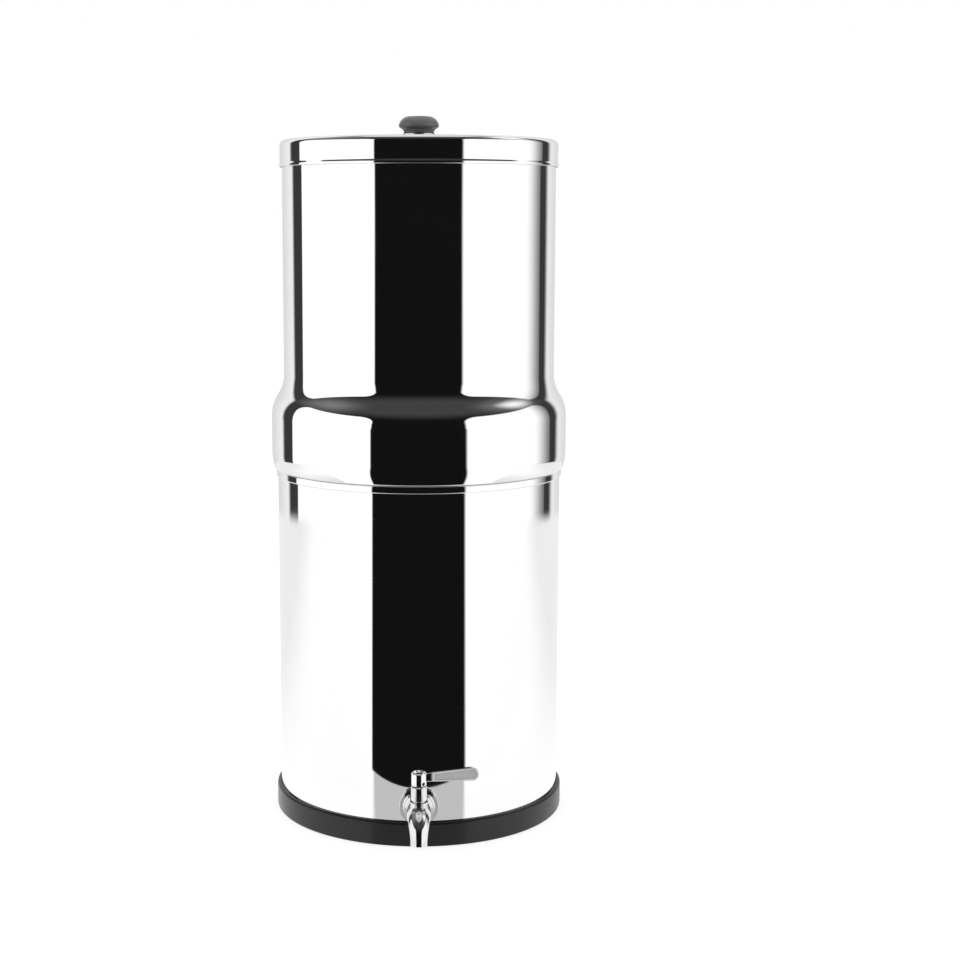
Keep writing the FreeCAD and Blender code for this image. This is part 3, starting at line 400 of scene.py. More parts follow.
spread = sums(marks_group, "SUBTRACT", marks_in["Handled"], marks_in["Clean"])
mark_rough = sums(marks_group, "MULTIPLY_ADD", mark_mask, spread, marks_in["Clean"])
join(marks_group, mark_rough, marks_out["Roughness"])
join(marks_group, mark_mask, marks_out["Mask"])
print("group:", marks_group.name)

# %% [markdown]
# Polish lines: spun and buffed steel keeps very fine lines that run round the piece.
# Noise that is stretched round the axis and tight along it gives them. Radius and height are
# used in place of plain coordinates, so the same group works on a wall and on a flat floor.

# %% Polish lines
lines_group, lines_in, lines_out = new_group("polish_lines", [("Lines", 900.0), ("Round", 3.0)], ["Height"])
lines_place = add_node(lines_group, "ShaderNodeTexCoord").outputs["Object"]
lines_x, lines_y, lines_z = split(lines_group, lines_place)
along = sums(lines_group, "ADD", flat_length(lines_group, lines_x, lines_y), lines_z)
lines_vector = add_node(lines_group, "ShaderNodeCombineXYZ")
for place, (way, dial) in enumerate(((lines_x, "Round"), (lines_y, "Round"), (along, "Lines"))):
    join(lines_group, sums(lines_group, "MULTIPLY", way, lines_in[dial]), lines_vector.inputs[place])
line_noise = add_node(lines_group, "ShaderNodeTexNoise", Scale=1.0, Detail=4.0, Roughness=0.65)
join(lines_group, lines_vector.outputs[0], line_noise.inputs["Vector"])
join(lines_group, line_noise.outputs[0], lines_out["Height"])
print("group:", lines_group.name)

# %% [markdown]
# Moulded grain: rubber and plastic copy the spark-eroded steel of their mould, a fine even
# pebble. Two sizes of noise, one for the pebble and one for its clumps, are enough at this
# distance, and the group also gives out the clumps as a mask for small changes of shade.

# %% Moulded grain
CLUMPS_COARSER = 0.05
grain_group, grain_in, grain_out = new_group("moulded_grain", [("Pebble", 1600.0)], ["Height", "Shade"])
grain_place = add_node(grain_group, "ShaderNodeTexCoord").outputs["Object"]
pebble = add_node(grain_group, "ShaderNodeTexNoise", Detail=2.0, Roughness=0.5)
join(grain_group, grain_place, pebble.inputs["Vector"])
join(grain_group, grain_in["Pebble"], pebble.inputs["Scale"])
clumps = add_node(grain_group, "ShaderNodeTexNoise", Detail=4.0, Roughness=0.6)
join(grain_group, grain_place, clumps.inputs["Vector"])
join(grain_group, sums(grain_group, "MULTIPLY", grain_in["Pebble"], CLUMPS_COARSER), clumps.inputs["Scale"])
join(grain_group, pebble.outputs[0], grain_out["Height"])
join(grain_group, fade(grain_group, clumps.outputs[0], 0.3, 0.7), grain_out["Shade"])
print("group:", grain_group.name)

# %% [markdown]
# Each finish is then one Principled shader: a metal or a plastic with its constants on the
# shader's own sockets, two close shades mixed by a mask, a roughness that varies, and a fine
# bump. One helper makes that skeleton and each finish plugs its own groups into it.

# %% Finish helper
finishes = {}
METAL_RELIEF_SHARE = 0.25
MOULD_RELIEF_SHARE = 0.5
MOULD_MARKS = 14.0


def new_finish(name, light, dark, **constants):
    """A Principled material whose colour mixes two close shades by its mask."""
    material = bpy.data.materials.new(name)
    material.use_nodes = True
    tree = material.node_tree
    shader = tree.nodes["Principled BSDF"]
    for key, value in constants.items():
        shader.inputs[key.replace("_", " ")].default_value = value
    shades = add_node(tree, "ShaderNodeMix", data_type="RGBA")
    shades.inputs["A"].default_value = (*light, 1.0)
    shades.inputs["B"].default_value = (*dark, 1.0)
    join(tree, shades.outputs["Result"], shader.inputs["Base Color"])
    finishes[name] = material
    return tree, shader, shades.inputs["Factor"]


def add_bump(tree, shader, height, depth, share):
    """Relief of that depth, in metres, on the finish."""
    bump = add_node(tree, "ShaderNodeBump", Strength=share, Distance=depth)
    join(tree, height, bump.inputs["Height"])
    join(tree, bump.outputs[0], shader.inputs["Normal"])


def polished_metal(name, light, dark, clean, handled, size, relief, lines=900.0):
    """Buffed metal: handling marks on the gloss, polish lines in the relief."""
    tree, shader, factor = new_finish(name, light, dark, Metallic=1.0)
    marks = use_group(tree, marks_group, Size=size, Clean=clean, Handled=handled)
    polish = use_group(tree, lines_group, Lines=lines)
    join(tree, marks.outputs["Mask"], factor)
    join(tree, marks.outputs["Roughness"], shader.inputs["Roughness"])
    add_bump(tree, shader, polish.outputs["Height"], relief, METAL_RELIEF_SHARE)
    return tree, shader, marks.outputs["Roughness"]


def moulded(name, light, dark, clean, handled, pebble, relief, **constants):
    """Moulded rubber or plastic: grain in the relief, clumps in the shade."""
    tree, shader, factor = new_finish(name, light, dark, **constants)
    marks = use_group(tree, marks_group, Size=MOULD_MARKS, Clean=clean, Handled=handled)
    grain = use_group(tree, grain_group, Pebble=pebble)
    join(tree, grain.outputs["Shade"], factor)
    join(tree, marks.outputs["Roughness"], shader.inputs["Roughness"])
    add_bump(tree, shader, grain.outputs["Height"], relief, MOULD_RELIEF_SHARE)


print("finish helpers ready")

# %% [markdown]
# The tap is a small mirror with finer marks than the cans have. The knob's washer and screw
# are left satin from the lathe, the grub screw is blackened, and the knob's insert is brass.
# They differ in shade, in gloss and in how fine their lines are, so one helper makes them all.

# %% Small metal finishes
polished_metal("tap_steel", (0.80, 0.80, 0.795), (0.70, 0.70, 0.697), clean=0.07, handled=0.15,
               size=60.0, relief=0.000004, lines=2500.0)
polished_metal("satin_steel", (0.62, 0.62, 0.615), (0.52, 0.52, 0.515), clean=0.22, handled=0.34,
               size=60.0, relief=0.00001, lines=3200.0)
polished_metal("dark_screw", (0.045, 0.045, 0.048), (0.02, 0.02, 0.022), clean=0.25, handled=0.4,
               size=80.0, relief=0.00001, lines=3200.0)
polished_metal("insert_brass", (0.72, 0.52, 0.22), (0.60, 0.42, 0.16), clean=0.18, handled=0.30,
               size=60.0, relief=0.00001, lines=3200.0)
print("metals:", sorted(finishes))

# %% [markdown]
# The cans and the lid are stainless steel, drawn, spun and buffed to a mirror. The metal is
# nearly neutral with a trace of warmth, its reflections are sharp with a slight softness at
# their edges, and the buffing lines are far too fine to count.
# Inside, a can is left much as the sheet came from the mill: a dull grey satin, since only
# the outside is buffed. A second material would need a seam at each rim, so the mirror finish
# is dulled wherever the wall faces the can's middle line.

# %% Polished steel with satin insides
INSIDE_ROUGH = 0.38
INSIDE_METAL = 0.55
INWARD = (-0.55, -0.25)
tree, shader, buffed = polished_metal("polished_steel", (0.93, 0.93, 0.925), (0.90, 0.90, 0.897),
                                      clean=0.025, handled=0.055, size=7.0, relief=0.000002)
wall_place = add_node(tree, "ShaderNodeTexCoord").outputs
wall_x, wall_y = split(tree, wall_place["Object"])[:2]
facing_x, facing_y = split(tree, wall_place["Normal"])[:2]
outward = sums(tree, "MULTIPLY_ADD", wall_y, facing_y, sums(tree, "MULTIPLY", wall_x, facing_x))
outward = sums(tree, "DIVIDE", outward, flat_length(tree, wall_x, wall_y))
inside = fade(tree, outward, *INWARD, 1.0, 0.0)
join(tree, between(tree, inside, buffed, INSIDE_ROUGH), shader.inputs["Roughness"])
join(tree, fade(tree, inside, 0.0, 1.0, 1.0, INSIDE_METAL), shader.inputs["Metallic"])
print("insides dulled to roughness", INSIDE_ROUGH)

# %% [markdown]
# The tray is a soft black rubber that greys where light rakes over it. The knob and the
# elements' caps are moulded plastic, the knob matt, the caps glossy. Seals are plain black
# silicone, the clamp nuts a tougher plastic, and the ball seats a waxy white polymer.

# %% Rubber and plastic finishes
moulded("base_rubber", (0.009, 0.009, 0.0095), (0.006, 0.006, 0.0065), clean=0.28, handled=0.38,
        pebble=1500.0, relief=0.00005, Specular_IOR_Level=0.42)
moulded("seal_rubber", (0.030, 0.030, 0.031), (0.018, 0.018, 0.019), clean=0.55, handled=0.7,
        pebble=1800.0, relief=0.00004)
moulded("knob_plastic", (0.125, 0.125, 0.127), (0.105, 0.105, 0.107), clean=0.34, handled=0.44,
        pebble=2200.0, relief=0.00003)
moulded("cap_plastic", (0.012, 0.012, 0.013), (0.008, 0.008, 0.009), clean=0.10, handled=0.20,
        pebble=1400.0, relief=0.00001, Coat_Weight=0.3, Coat_Roughness=0.06)
moulded("nut_plastic", (0.022, 0.022, 0.023), (0.014, 0.014, 0.015), clean=0.30, handled=0.42,
        pebble=1800.0, relief=0.00003)
moulded("seat_white", (0.80, 0.79, 0.76), (0.72, 0.71, 0.68), clean=0.35, handled=0.45,
        pebble=1500.0, relief=0.00001)
print("finishes so far:", len(finishes))

# %% [markdown]
# The elements are sintered carbon: matt black, dry, and full of pores between grains of about
# half a millimetre. A cell pattern gives the grains, noise breaks their size up, and both the
# relief and a painted shade, darker down in the pores, follow it. Real displacement would cost
# many triangles for a grain that is this small, so the relief stays in the finish.

# %% Carbon finish
GRAIN_SHARE = 0.8
CARBON_PORE_SHADE_PAINTED = (-0.1, 0.45)
CARBON_ROUGH = (0.82, 0.98)
tree, shader, factor = new_finish("carbon_block", (0.020, 0.020, 0.020), (0.006, 0.006, 0.006),
                                  Specular_IOR_Level=0.3)
carbon_place = add_node(tree, "ShaderNodeTexCoord").outputs["Object"]
grains = add_node(tree, "ShaderNodeTexVoronoi", Scale=1500.0, Randomness=1.0)
join(tree, carbon_place, grains.inputs["Vector"])
pores = add_node(tree, "ShaderNodeTexNoise", Scale=700.0, Detail=6.0, Roughness=0.75)
join(tree, carbon_place, pores.inputs["Vector"])
grain_height = sums(tree, "MULTIPLY", grains.outputs["Distance"], GRAIN_SHARE)
carbon_height = sums(tree, "SUBTRACT", pores.outputs[0], grain_height)
# Painted shade: the colour darkens down in the pores, where the height is low
join(tree, fade(tree, carbon_height, *CARBON_PORE_SHADE_PAINTED, 1.0, 0.0), factor)
join(tree, fade(tree, pores.outputs[0], 0.3, 0.7, *CARBON_ROUGH), shader.inputs["Roughness"])
add_bump(tree, shader, carbon_height, 0.0004, 0.8)
print("finishes:", sorted(finishes))

# %% [markdown]
# The lever's paddle has a bright rim round a recessed panel that is left satin and a little
# darker, while its sleeve is a full mirror. One metal with two masks does it: the face is
# where the paddle is flat past the sleeve, and the panel is the part of it below the rim.

# %% Lever finish
LEVER_ROOT_X = 0.0085
LEVER_PANEL_X = 0.0122
LEVER_MIDDLE_Y = -0.148
LEVER_PANEL_DEPTH = 0.0019
PANEL_SIDE_SOFT = 0.0002
PANEL_DEPTH_SOFT = 0.0001
FLATNESS = (0.85, 0.95)
FACE_METAL = 0.35
FACE_ROUGH = 0.33
PANEL_ROUGH = 0.62
PANEL_SHADE = 0.66
tree, shader, mirror_gloss = polished_metal(
    "lever_steel", (0.90, 0.90, 0.895), (0.84, 0.84, 0.837), clean=0.10, handled=0.18,
    size=60.0, relief=0.000004, lines=2500.0)
lever_place = add_node(tree, "ShaderNodeTexCoord").outputs
lever_x, lever_y = split(tree, lever_place["Object"])[:2]
facing_y = split(tree, lever_place["Normal"])[1]
from_middle = sums(tree, "ABSOLUTE", sums(tree, "SUBTRACT", lever_y, LEVER_MIDDLE_Y))
flat_face = sums(tree, "MULTIPLY", fade(tree, sums(tree, "ABSOLUTE", facing_y), *FLATNESS),
                 fade(tree, lever_x, LEVER_ROOT_X, LEVER_PANEL_X))
below_rim = fade(tree, from_middle, LEVER_PANEL_DEPTH, LEVER_PANEL_DEPTH + PANEL_DEPTH_SOFT, 1.0, 0.0)
past_shoulder = fade(tree, lever_x, LEVER_PANEL_X, LEVER_PANEL_X + PANEL_SIDE_SOFT)
panel = sums(tree, "MULTIPLY", sums(tree, "MULTIPLY", flat_face, below_rim), past_shoulder)
gloss = sums(tree, "MAXIMUM", mirror_gloss, sums(tree, "MULTIPLY", flat_face, FACE_ROUGH))
join(tree, between(tree, panel, gloss, PANEL_ROUGH), shader.inputs["Roughness"])
join(tree, fade(tree, flat_face, 0.0, 1.0, 1.0, FACE_METAL), shader.inputs["Metallic"])
lever_colour = shader.inputs["Base Color"].links[0].from_socket
panel_colour = add_node(tree, "ShaderNodeMix", data_type="RGBA", blend_type="MULTIPLY", B=grey(PANEL_SHADE))
join(tree, panel, panel_colour.inputs["Factor"])
join(tree, lever_colour, panel_colour.inputs["A"])
join(tree, panel_colour.outputs["Result"], shader.inputs["Base Color"])
print("lever finish ready")

# %% [markdown]
# Every solid names the finish it takes, so the finishes are handed out by that name. The
# small hidden pieces, such as seals, ball, seats and screws, keep their solids' shapes,
# which are already exact, and only change material.

# %% Hand the finishes out
for node in nodes.values():
    asked_for = node.material_slots[0].material.name.split(".")[0]
    node.material_slots[0].material = finishes[asked_for]
nodes["tap_lever"].material_slots[0].material = finishes["lever_steel"]
# A clean dark strip above the tap: the lever's own ghost in the can is kept out of reflections
for name in ("tap_lever", "tap_bonnet", "tap_stem", "lever_screw"):
    nodes[name].visible_glossy = False
print("painted:", len(nodes))

# %% [markdown]
# The shells are bodies of revolution. A solid exported for the workshop is made of flat
# facets, which a mirror finish would betray, so the visible shells are turned again here,
# finely. An outline is drawn as on paper, point by point, where a point may start an arc:
# a vertex is spun about the arc's centre to leave a true arc behind it, and the closed
# outline is spun once round the upright axis. Normals are weighted by face area, so a long
# wall stays straight in its reflections right up to its rounded corner.

# %% Turning helpers
ROUND_STEPS = 240
SMALL_ROUND_STEPS = 128
ARC_STEP = math.radians(6.0)
FINE_ARC_STEP = math.radians(2.0)
TOUCHING = 0.00001
ON_AXIS = 1e-7
LEFT, RIGHT = 1, -1


def flat_point(radius, height):
    return Vector((radius * MM, 0.0, height * MM))


def arc_centre(start, end, radius, side):
    """Centre of the arc from start to end that bends to its LEFT or RIGHT."""
    chord = end - start
    reach = math.sqrt(max(radius ** 2 - chord.length_squared / 4, 0.0))
    left = Vector((-chord.z, 0.0, chord.x)).normalized()
    return (start + end) / 2 + left * (side * reach)


def draw_outline(mesh, corners, arc_step):
    """A closed outline through (radius, height) or, where an arc starts, with its radius and side."""
    here = mesh.verts.new(flat_point(*corners[0][:2]))
    for corner, after in zip(corners, corners[1:] + corners[:1]):
        target = flat_point(*after[:2])
        if len(corner) > 2:
            arc_radius, side = corner[2:]
            start = here.co.copy()
            centre = arc_centre(start, target, arc_radius * MM, side)
            angle = (start - centre).angle(target - centre)
            made = bmesh.ops.spin(mesh, geom=[here], cent=centre, axis=(0.0, -1.0, 0.0), angle=angle * side,
                                  steps=max(2, math.ceil(angle / arc_step)), use_duplicate=False)
            here = next(item for item in made["geom_last"] if isinstance(item, bmesh.types.BMVert))
        else:
            here = bmesh.ops.extrude_vert_indiv(mesh, verts=[here])["verts"][0]
            here.co = target
    bmesh.ops.remove_doubles(mesh, verts=mesh.verts[:], dist=TOUCHING)


def finish_mesh(name, mesh, finish, body):
    """Close the mesh, turn its faces outwards and put it in the scene on a body."""
    bmesh.ops.remove_doubles(mesh, verts=mesh.verts[:], dist=TOUCHING)
    bmesh.ops.recalc_face_normals(mesh, faces=mesh.faces[:])
    data = bpy.data.meshes.new(name)
    mesh.to_mesh(data)
    mesh.free()
    data.shade_smooth()
    data.materials.append(finishes[finish])
    piece = bpy.data.objects.new(name, data)
    bpy.context.scene.collection.objects.link(piece)
    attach(piece, body)
    return piece


def open_edges(piece):
    """How many edges have only one face, which a closed solid doesn't have."""
    mesh = bmesh.new()
    mesh.from_mesh(piece.data)
    count = sum(1 for e in mesh.edges if not e.is_manifold)
    mesh.free()
    return count


def turned_piece(name, corners, finish, body, x=0.0, steps=ROUND_STEPS, rings=(), arc_step=ARC_STEP):
    """A turned piece on the upright axis through x. Rings are extra level cuts, in mm."""
    mesh = bmesh.new()
    draw_outline(mesh, corners, arc_step)
    on_axis = [e for e in mesh.edges if all(abs(v.co.x) < ON_AXIS for v in e.verts)]
    bmesh.ops.delete(mesh, geom=on_axis, context="EDGES")
    bmesh.ops.spin(mesh, geom=mesh.verts[:] + mesh.edges[:], cent=(0, 0, 0), axis=(0, 0, 1),
                   angle=math.tau, steps=steps, use_merge=True, use_duplicate=False)
    bmesh.ops.remove_doubles(mesh, verts=mesh.verts[:], dist=TOUCHING)
    for level in rings:
        bmesh.ops.bisect_plane(mesh, geom=mesh.verts[:] + mesh.edges[:] + mesh.faces[:], dist=ON_AXIS,
                               plane_co=(0, 0, level * MM), plane_no=(0, 0, 1))
    bmesh.ops.translate(mesh, vec=(x * MM, 0, 0), verts=mesh.verts[:])
    piece = finish_mesh(name, mesh, finish, body)
    piece.modifiers.new("even_shading", "WEIGHTED_NORMAL").weight = 100
    print(name, "faces:", len(piece.data.polygons), "open edges:", open_edges(piece))
    return piece


print("turning helpers ready")

# %% [markdown]
# The lower can is drawn from one sheet: flat floor, tight corner, straight wall, and a hem
# folded out round the top that the upper can sits on. Two extra rings cross its wall above
# and below the tap hole, which is cut in the next step.

# %% Lower can
SHEET = 0.8
CAN_CORNER = 6.0
LOWER_R = 120.0
LOWER_Z = 3.0
HEM_R = 121.4
HEM_LOW = 289.2
HEM_HIGH = 295.3
HEM_ROUND = 1.0
TAP_Z = 34.3
TAP_RING = 9.0
WALL_RINGS = (120.0, 210.0)

lower_can = turned_piece("lower_can_shell", [
    (0.0, LOWER_Z),
    (LOWER_R - CAN_CORNER, LOWER_Z, CAN_CORNER, LEFT),
    (LOWER_R, LOWER_Z + CAN_CORNER),
    (LOWER_R, HEM_LOW),
    (HEM_R - HEM_ROUND, HEM_LOW, HEM_ROUND, LEFT),
    (HEM_R, HEM_LOW + HEM_ROUND),
    (HEM_R, HEM_HIGH - HEM_ROUND, HEM_ROUND, LEFT),
    (HEM_R - HEM_ROUND, HEM_HIGH),
    (LOWER_R - SHEET + HEM_ROUND, HEM_HIGH, HEM_ROUND, LEFT),
    (LOWER_R - SHEET, HEM_HIGH - HEM_ROUND),
    (LOWER_R - SHEET, LOWER_Z + CAN_CORNER, CAN_CORNER - SHEET, RIGHT),
    (LOWER_R - CAN_CORNER, LOWER_Z + SHEET),
    (0.0, LOWER_Z + SHEET),
], "polished_steel", "lower_vessel", rings=(TAP_Z - TAP_RING, TAP_Z + TAP_RING, *WALL_RINGS))
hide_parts("lower_chamber")

# %% [markdown]
# One hole lets the tap's shank through the wall. It is punched in the real sheet. Here a
# boolean cuts it and is applied at once, between the two extra rings, so that its uneven
# faces stay under the tap's flange, where no reflection can show them.

# %% Tap hole
DRILL_SIDES = 64
TAP_HOLE_R = 8.2
WALL_DRILL = 20.0
FORWARD = Matrix.Rotation(math.pi / 2, 4, "X")
UPRIGHT = Matrix.Identity(4)


def bore(piece, radius, places, way, length):
    """Cut round holes of that radius through a piece, with the boolean applied at once."""
    drill_mesh = bmesh.new()
    for place in places:
        bmesh.ops.create_cone(drill_mesh, cap_ends=True, segments=DRILL_SIDES, radius1=radius * MM,
                              radius2=radius * MM, depth=length * MM,
                              matrix=Matrix.Translation(Vector(place) * MM) @ way)
    drill_data = bpy.data.meshes.new("drill")
    drill_mesh.to_mesh(drill_data)
    drill_mesh.free()
    drill = bpy.data.objects.new("drill", drill_data)
    bpy.context.scene.collection.objects.link(drill)
    cut = piece.modifiers.new("bore", "BOOLEAN")
    cut.object = drill
    cut.operation = "DIFFERENCE"
    cut.solver = "EXACT"
    piece.modifiers.move(len(piece.modifiers) - 1, 0)
    even = piece.modifiers["even_shading"]
    even.show_viewport = False
    graph = bpy.context.evaluated_depsgraph_get()
    graph.update()
    made = bpy.data.meshes.new_from_object(piece.evaluated_get(graph))
    even.show_viewport = True
    piece.modifiers.remove(cut)
    old = piece.data
    piece.data = made
    made.name = old.name
    bpy.data.meshes.remove(old)
    bpy.data.objects.remove(drill)
    bpy.data.meshes.remove(drill_data)
    print(piece.name, "bores:", len(places), "faces:", len(made.polygons), "open edges:", open_edges(piece))


bore(lower_can, TAP_HOLE_R, [(0.0, -LOWER_R, TAP_Z)], FORWARD, WALL_DRILL)

# %% [markdown]
# The upper can is the photograph's most telling shape: a neck that drops into the lower can,
# a shelf on its hem, a full round band, then a flare that sweeps in to the straight wall.
# The flare is two equal arcs that meet in a slope of about 33 degrees. Its mirror bends the
# white boxes into rounded patches and shows the dark ceiling between them, and that only
# comes right with true arcs, which is why the outline is drawn and not subdivided.

# %% Upper can
NECK_R = 118.4
NECK_Z = 275.0
SHELF_ROUND = 1.2
SHELF_ROUND_INSIDE = 2.0
BULGE_R = 124.9
UPPER_R = 114.3
FLARE = 32.0
CURL = 44.0
CURL_ROUND = 1.5
SHELF_Z = 295.6
BULGE_LOW = 310.0
BULGE_HIGH = 340.0
RIM_Z = 567.4
RIM_BEAD = 1.5
UPPER_RINGS = (440.0, 500.0)
FLOOR_HOLE_R = 7.2
FLOOR_HOLE_OUT = 60.0
FLOOR_DRILL = 10.0

curl_sine = (BULGE_LOW - SHELF_Z - CURL_ROUND) / (CURL - CURL_ROUND)
curl_cosine = math.sqrt(1 - curl_sine ** 2)
fold_r = BULGE_R - CURL + (CURL - CURL_ROUND) * curl_cosine
flare_cosine = 1 - (BULGE_R - UPPER_R) / (2 * FLARE)
flare_sine = math.sqrt(1 - flare_cosine ** 2)
flare_mid = BULGE_HIGH + FLARE * flare_sine
flare_top = BULGE_HIGH + 2 * FLARE * flare_sine
half_r = (BULGE_R + UPPER_R) / 2
print("flare slope:", round(math.degrees(math.asin(flare_sine)), 1), "top at", round(flare_top, 1))

upper_can = turned_piece("upper_can_shell", [
    (0.0, NECK_Z),
    (NECK_R - CAN_CORNER, NECK_Z, CAN_CORNER, LEFT),
    (NECK_R, NECK_Z + CAN_CORNER),
    (NECK_R, SHELF_Z - SHELF_ROUND, SHELF_ROUND, RIGHT),
    (NECK_R + SHELF_ROUND, SHELF_Z),
    (fold_r, SHELF_Z, CURL_ROUND, LEFT),
    (fold_r + CURL_ROUND * curl_cosine, SHELF_Z + CURL_ROUND * (1 - curl_sine), CURL, LEFT),
    (BULGE_R, BULGE_LOW),
    (BULGE_R, BULGE_HIGH, FLARE, LEFT),
    (half_r, flare_mid, FLARE, RIGHT),
    (UPPER_R, flare_top),
    (UPPER_R, RIM_Z - RIM_BEAD, RIM_BEAD, LEFT),
    (UPPER_R - RIM_BEAD, RIM_Z, RIM_BEAD, LEFT),
    (UPPER_R - 2 * RIM_BEAD, RIM_Z - RIM_BEAD, RIM_BEAD, LEFT),
    (UPPER_R - RIM_BEAD, RIM_Z - 2 * RIM_BEAD),
    (UPPER_R - SHEET, RIM_Z - 2 * RIM_BEAD),
    (UPPER_R - SHEET, flare_top, FLARE + SHEET, LEFT),
    (half_r - SHEET * flare_cosine, flare_mid - SHEET * flare_sine, FLARE - SHEET, RIGHT),
    (BULGE_R - SHEET, BULGE_HIGH),
    (BULGE_R - SHEET, BULGE_LOW, CURL - SHEET, RIGHT),
    (fold_r + (CURL_ROUND - SHEET) * curl_cosine,
     SHELF_Z + CURL_ROUND - (CURL_ROUND - SHEET) * curl_sine, CURL_ROUND - SHEET, RIGHT),
    (fold_r, SHELF_Z + SHEET),
    (NECK_R + SHELF_ROUND, SHELF_Z + SHEET, SHELF_ROUND_INSIDE, LEFT),
    (NECK_R - SHEET, SHELF_Z - SHELF_ROUND),
    (NECK_R - SHEET, NECK_Z + CAN_CORNER, CAN_CORNER - SHEET, RIGHT),
    (NECK_R - CAN_CORNER, NECK_Z + SHEET),
    (0.0, NECK_Z + SHEET),
], "polished_steel", "upper_vessel", rings=UPPER_RINGS, arc_step=FINE_ARC_STEP)
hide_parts("upper_chamber")
hole_z = NECK_Z + SHEET / 2
floor_holes = [(x * FLOOR_HOLE_OUT, y * FLOOR_HOLE_OUT, hole_z)
               for x, y in ((1, 0), (-1, 0), (0, 1), (0, -1))]
bore(upper_can, FLOOR_HOLE_R, floor_holes, UPRIGHT, FLOOR_DRILL)

# %% [markdown]
# The lid is a shallow cap: a top that rises only two millimetres to its middle, a tight
# rounded edge, a plain skirt and a small bead along its foot that stiffens it and catches a
# bright line. The hole in its middle is where the knob's screw comes up, so the outline
# simply stops short of the axis there.

# %% Lid
LID_R = 116.0
LID_FOOT = 546.8
BEAD_R = 116.6
BEAD_ROUND = 0.6
BEAD_HIGH = 1.7
BEAD_END = 3.2
EASE_OUT = 0.1
EASE_UP = 0.4
LID_CORNER = 4.5
DOME = 1640.0
CROWN_Z = 572.6
LID_HOLE = 2.75
LID_RING = 558.0
tilt_sine = (LID_R - LID_CORNER) / (DOME - LID_CORNER)
tilt_cosine = math.sqrt(1 - tilt_sine ** 2)
corner_r = LID_R - LID_CORNER
corner_z = CROWN_Z - DOME + (DOME - LID_CORNER) * tilt_cosine
inner_corner = LID_CORNER - SHEET


def dome_height(radius, sphere):
    """Height of the lid's top, or of its underside, at a distance from the axis."""
    return CROWN_Z - DOME + math.sqrt(sphere ** 2 - radius ** 2)


lid = turned_piece("lid_shell", [
    (LID_R - SHEET, LID_FOOT),
    (LID_R, LID_FOOT, BEAD_ROUND, LEFT),
    (BEAD_R, LID_FOOT + BEAD_ROUND),
    (BEAD_R, LID_FOOT + BEAD_HIGH),
    (BEAD_R - EASE_OUT, LID_FOOT + BEAD_HIGH + EASE_UP),
    (LID_R + EASE_OUT, LID_FOOT + BEAD_END),
    (LID_R, LID_FOOT + BEAD_END + EASE_UP),
    (LID_R, corner_z, LID_CORNER, LEFT),
    (corner_r + LID_CORNER * tilt_sine, corner_z + LID_CORNER * tilt_cosine, DOME, LEFT),
    (LID_HOLE, dome_height(LID_HOLE, DOME)),
    (LID_HOLE, dome_height(LID_HOLE, DOME - SHEET), DOME - SHEET, RIGHT),
    (corner_r + inner_corner * tilt_sine, corner_z + inner_corner * tilt_cosine, inner_corner, RIGHT),
    (LID_R - SHEET, corner_z),
], "polished_steel", "lid_assembly", rings=(LID_RING,))
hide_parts("lid")

# %% [markdown]
# The knob is a moulded mushroom: a foot on the washer, a waist for the fingertips, a rolled
# lip, rounded sides and an almost flat crown. Its brass insert and the screw that pulls it
# to the lid keep their own solids, and show only if the lid is turned over.

# %% Knob
KNOB_Z = 574.6
KNOB_HOLE_R = 3.5
KNOB_HOLE_DEEP = 9.0
FOOT_R = 12.6
FOOT_HIGH = 1.4
WAIST_ROUND = 5.0
LIP_R, LIP_Z, LIP_ROUND = 15.4, 4.4, 2.4
BROW_R, BROW_Z, BROW_ROUND = 16.8, 6.7, 9.0
CROWN_EDGE, CROWN_EDGE_Z = 9.6, 13.9
CROWN_RISE = 0.5
CROWN_ROUND = (CROWN_EDGE ** 2 + CROWN_RISE ** 2) / (2 * CROWN_RISE)
knob = turned_piece("knob_mushroom", [
    (KNOB_HOLE_R, KNOB_Z),
    (FOOT_R, KNOB_Z),
    (FOOT_R, KNOB_Z + FOOT_HIGH, WAIST_ROUND, RIGHT),
    (LIP_R, KNOB_Z + LIP_Z, LIP_ROUND, LEFT),
    (BROW_R, KNOB_Z + BROW_Z, BROW_ROUND, LEFT),
    (CROWN_EDGE, KNOB_Z + CROWN_EDGE_Z, CROWN_ROUND, LEFT),
    (0.0, KNOB_Z + CROWN_EDGE_Z + CROWN_RISE),
    (0.0, KNOB_Z + KNOB_HOLE_DEEP),
    (KNOB_HOLE_R, KNOB_Z + KNOB_HOLE_DEEP),
], "knob_plastic", "lid_assembly", steps=SMALL_ROUND_STEPS)
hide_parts("lid_knob")

# %% [markdown]
# The tray is moulded rubber: a flat floor, a rounded foot and a thick soft lip that hugs the
# can, with a shallow dip where the tap's flange comes down to it. It is turned like the
# shells and the dip is bored into the lip.

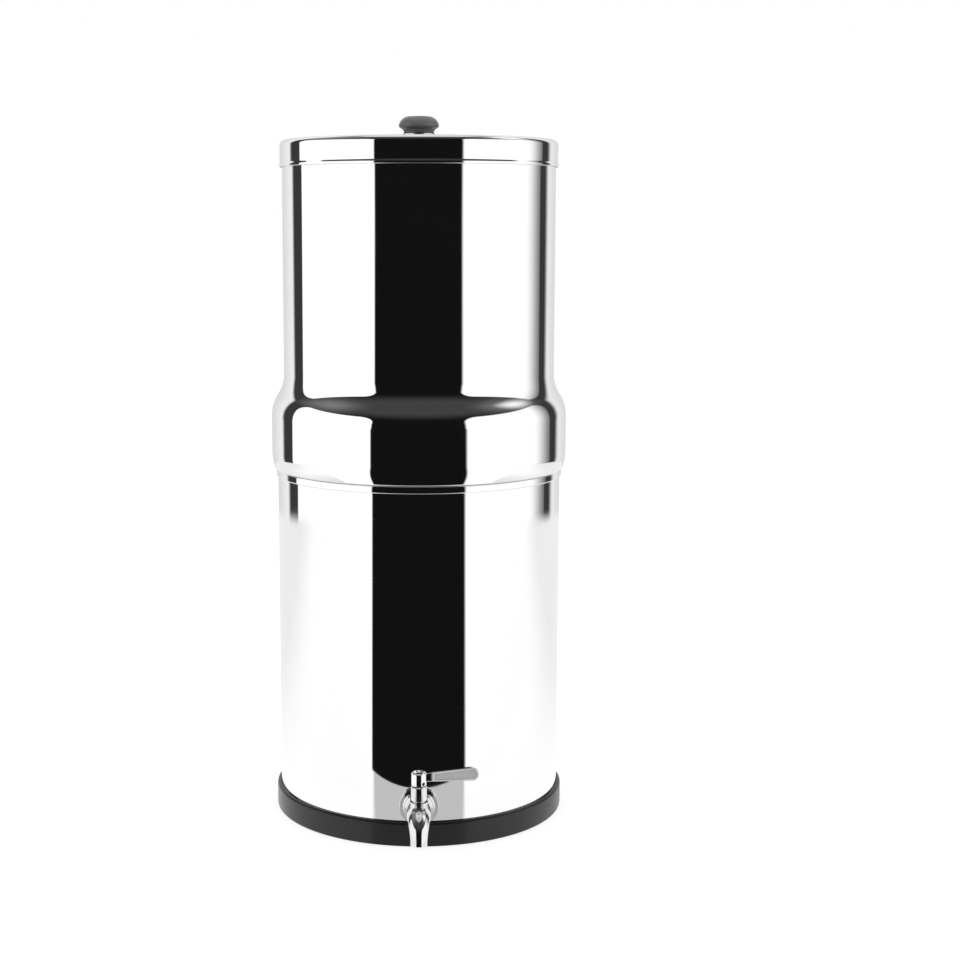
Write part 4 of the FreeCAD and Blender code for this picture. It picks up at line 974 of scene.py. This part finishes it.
# %% Base tray
TRAY_R = 123.4
TRAY_TOP = 20.6
TRAY_FOOT_ROUND = 2.0
TRAY_LIP_ROUND = 2.4
TRAY_PLAY = 0.1
TRAY_INNER_R = LOWER_R + TRAY_PLAY
TRAY_RING = 10.0
DIP_R = 16.4
DIP_OUT = 122.4
DIP_LONG = 10.0
tray = turned_piece("rubber_tray", [
    (0.0, 0.0),
    (TRAY_R - TRAY_FOOT_ROUND, 0.0, TRAY_FOOT_ROUND, LEFT),
    (TRAY_R, TRAY_FOOT_ROUND),
    (TRAY_R, TRAY_TOP - TRAY_LIP_ROUND, TRAY_LIP_ROUND, LEFT),
    (TRAY_R - TRAY_LIP_ROUND, TRAY_TOP),
    (TRAY_INNER_R, TRAY_TOP),
    (TRAY_INNER_R, LOWER_Z),
    (0.0, LOWER_Z),
], "base_rubber", "lower_vessel", rings=(TRAY_RING,))
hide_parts("base_tray")
bore(tray, DIP_R, [(0.0, -DIP_OUT, TAP_Z)], FORWARD, DIP_LONG)

# %% [markdown]
# The elements' carbon blocks are long plain cylinders with a rounded top, so they are turned
# too, finely enough for their edge to look round. Their caps, washers and nuts keep the
# solids, whose small notches and bores are already there.

# %% Carbon blocks
CARBON_Z = 291.3
CARBON_TOP = 518.3
CARBON_R = 35.0
CARBON_ROUND = 6.0
CARBON_BORE_R = 12.0
CARBON_CROWN = 20.0
for side, x in (("left", -FLOOR_HOLE_OUT), ("right", FLOOR_HOLE_OUT)):
    block = turned_piece(f"carbon_block_{side}", [
        (CARBON_BORE_R, CARBON_Z),
        (CARBON_R, CARBON_Z),
        (CARBON_R, CARBON_TOP - CARBON_ROUND, CARBON_ROUND, LEFT),
        (CARBON_R - CARBON_ROUND, CARBON_TOP),
        (0.0, CARBON_TOP),
        (0.0, CARBON_TOP - CARBON_CROWN),
        (CARBON_BORE_R, CARBON_TOP - CARBON_CROWN),
    ], "carbon_block", "upper_vessel", x=x, steps=SMALL_ROUND_STEPS)
    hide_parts(f"element_carbon_{side}")
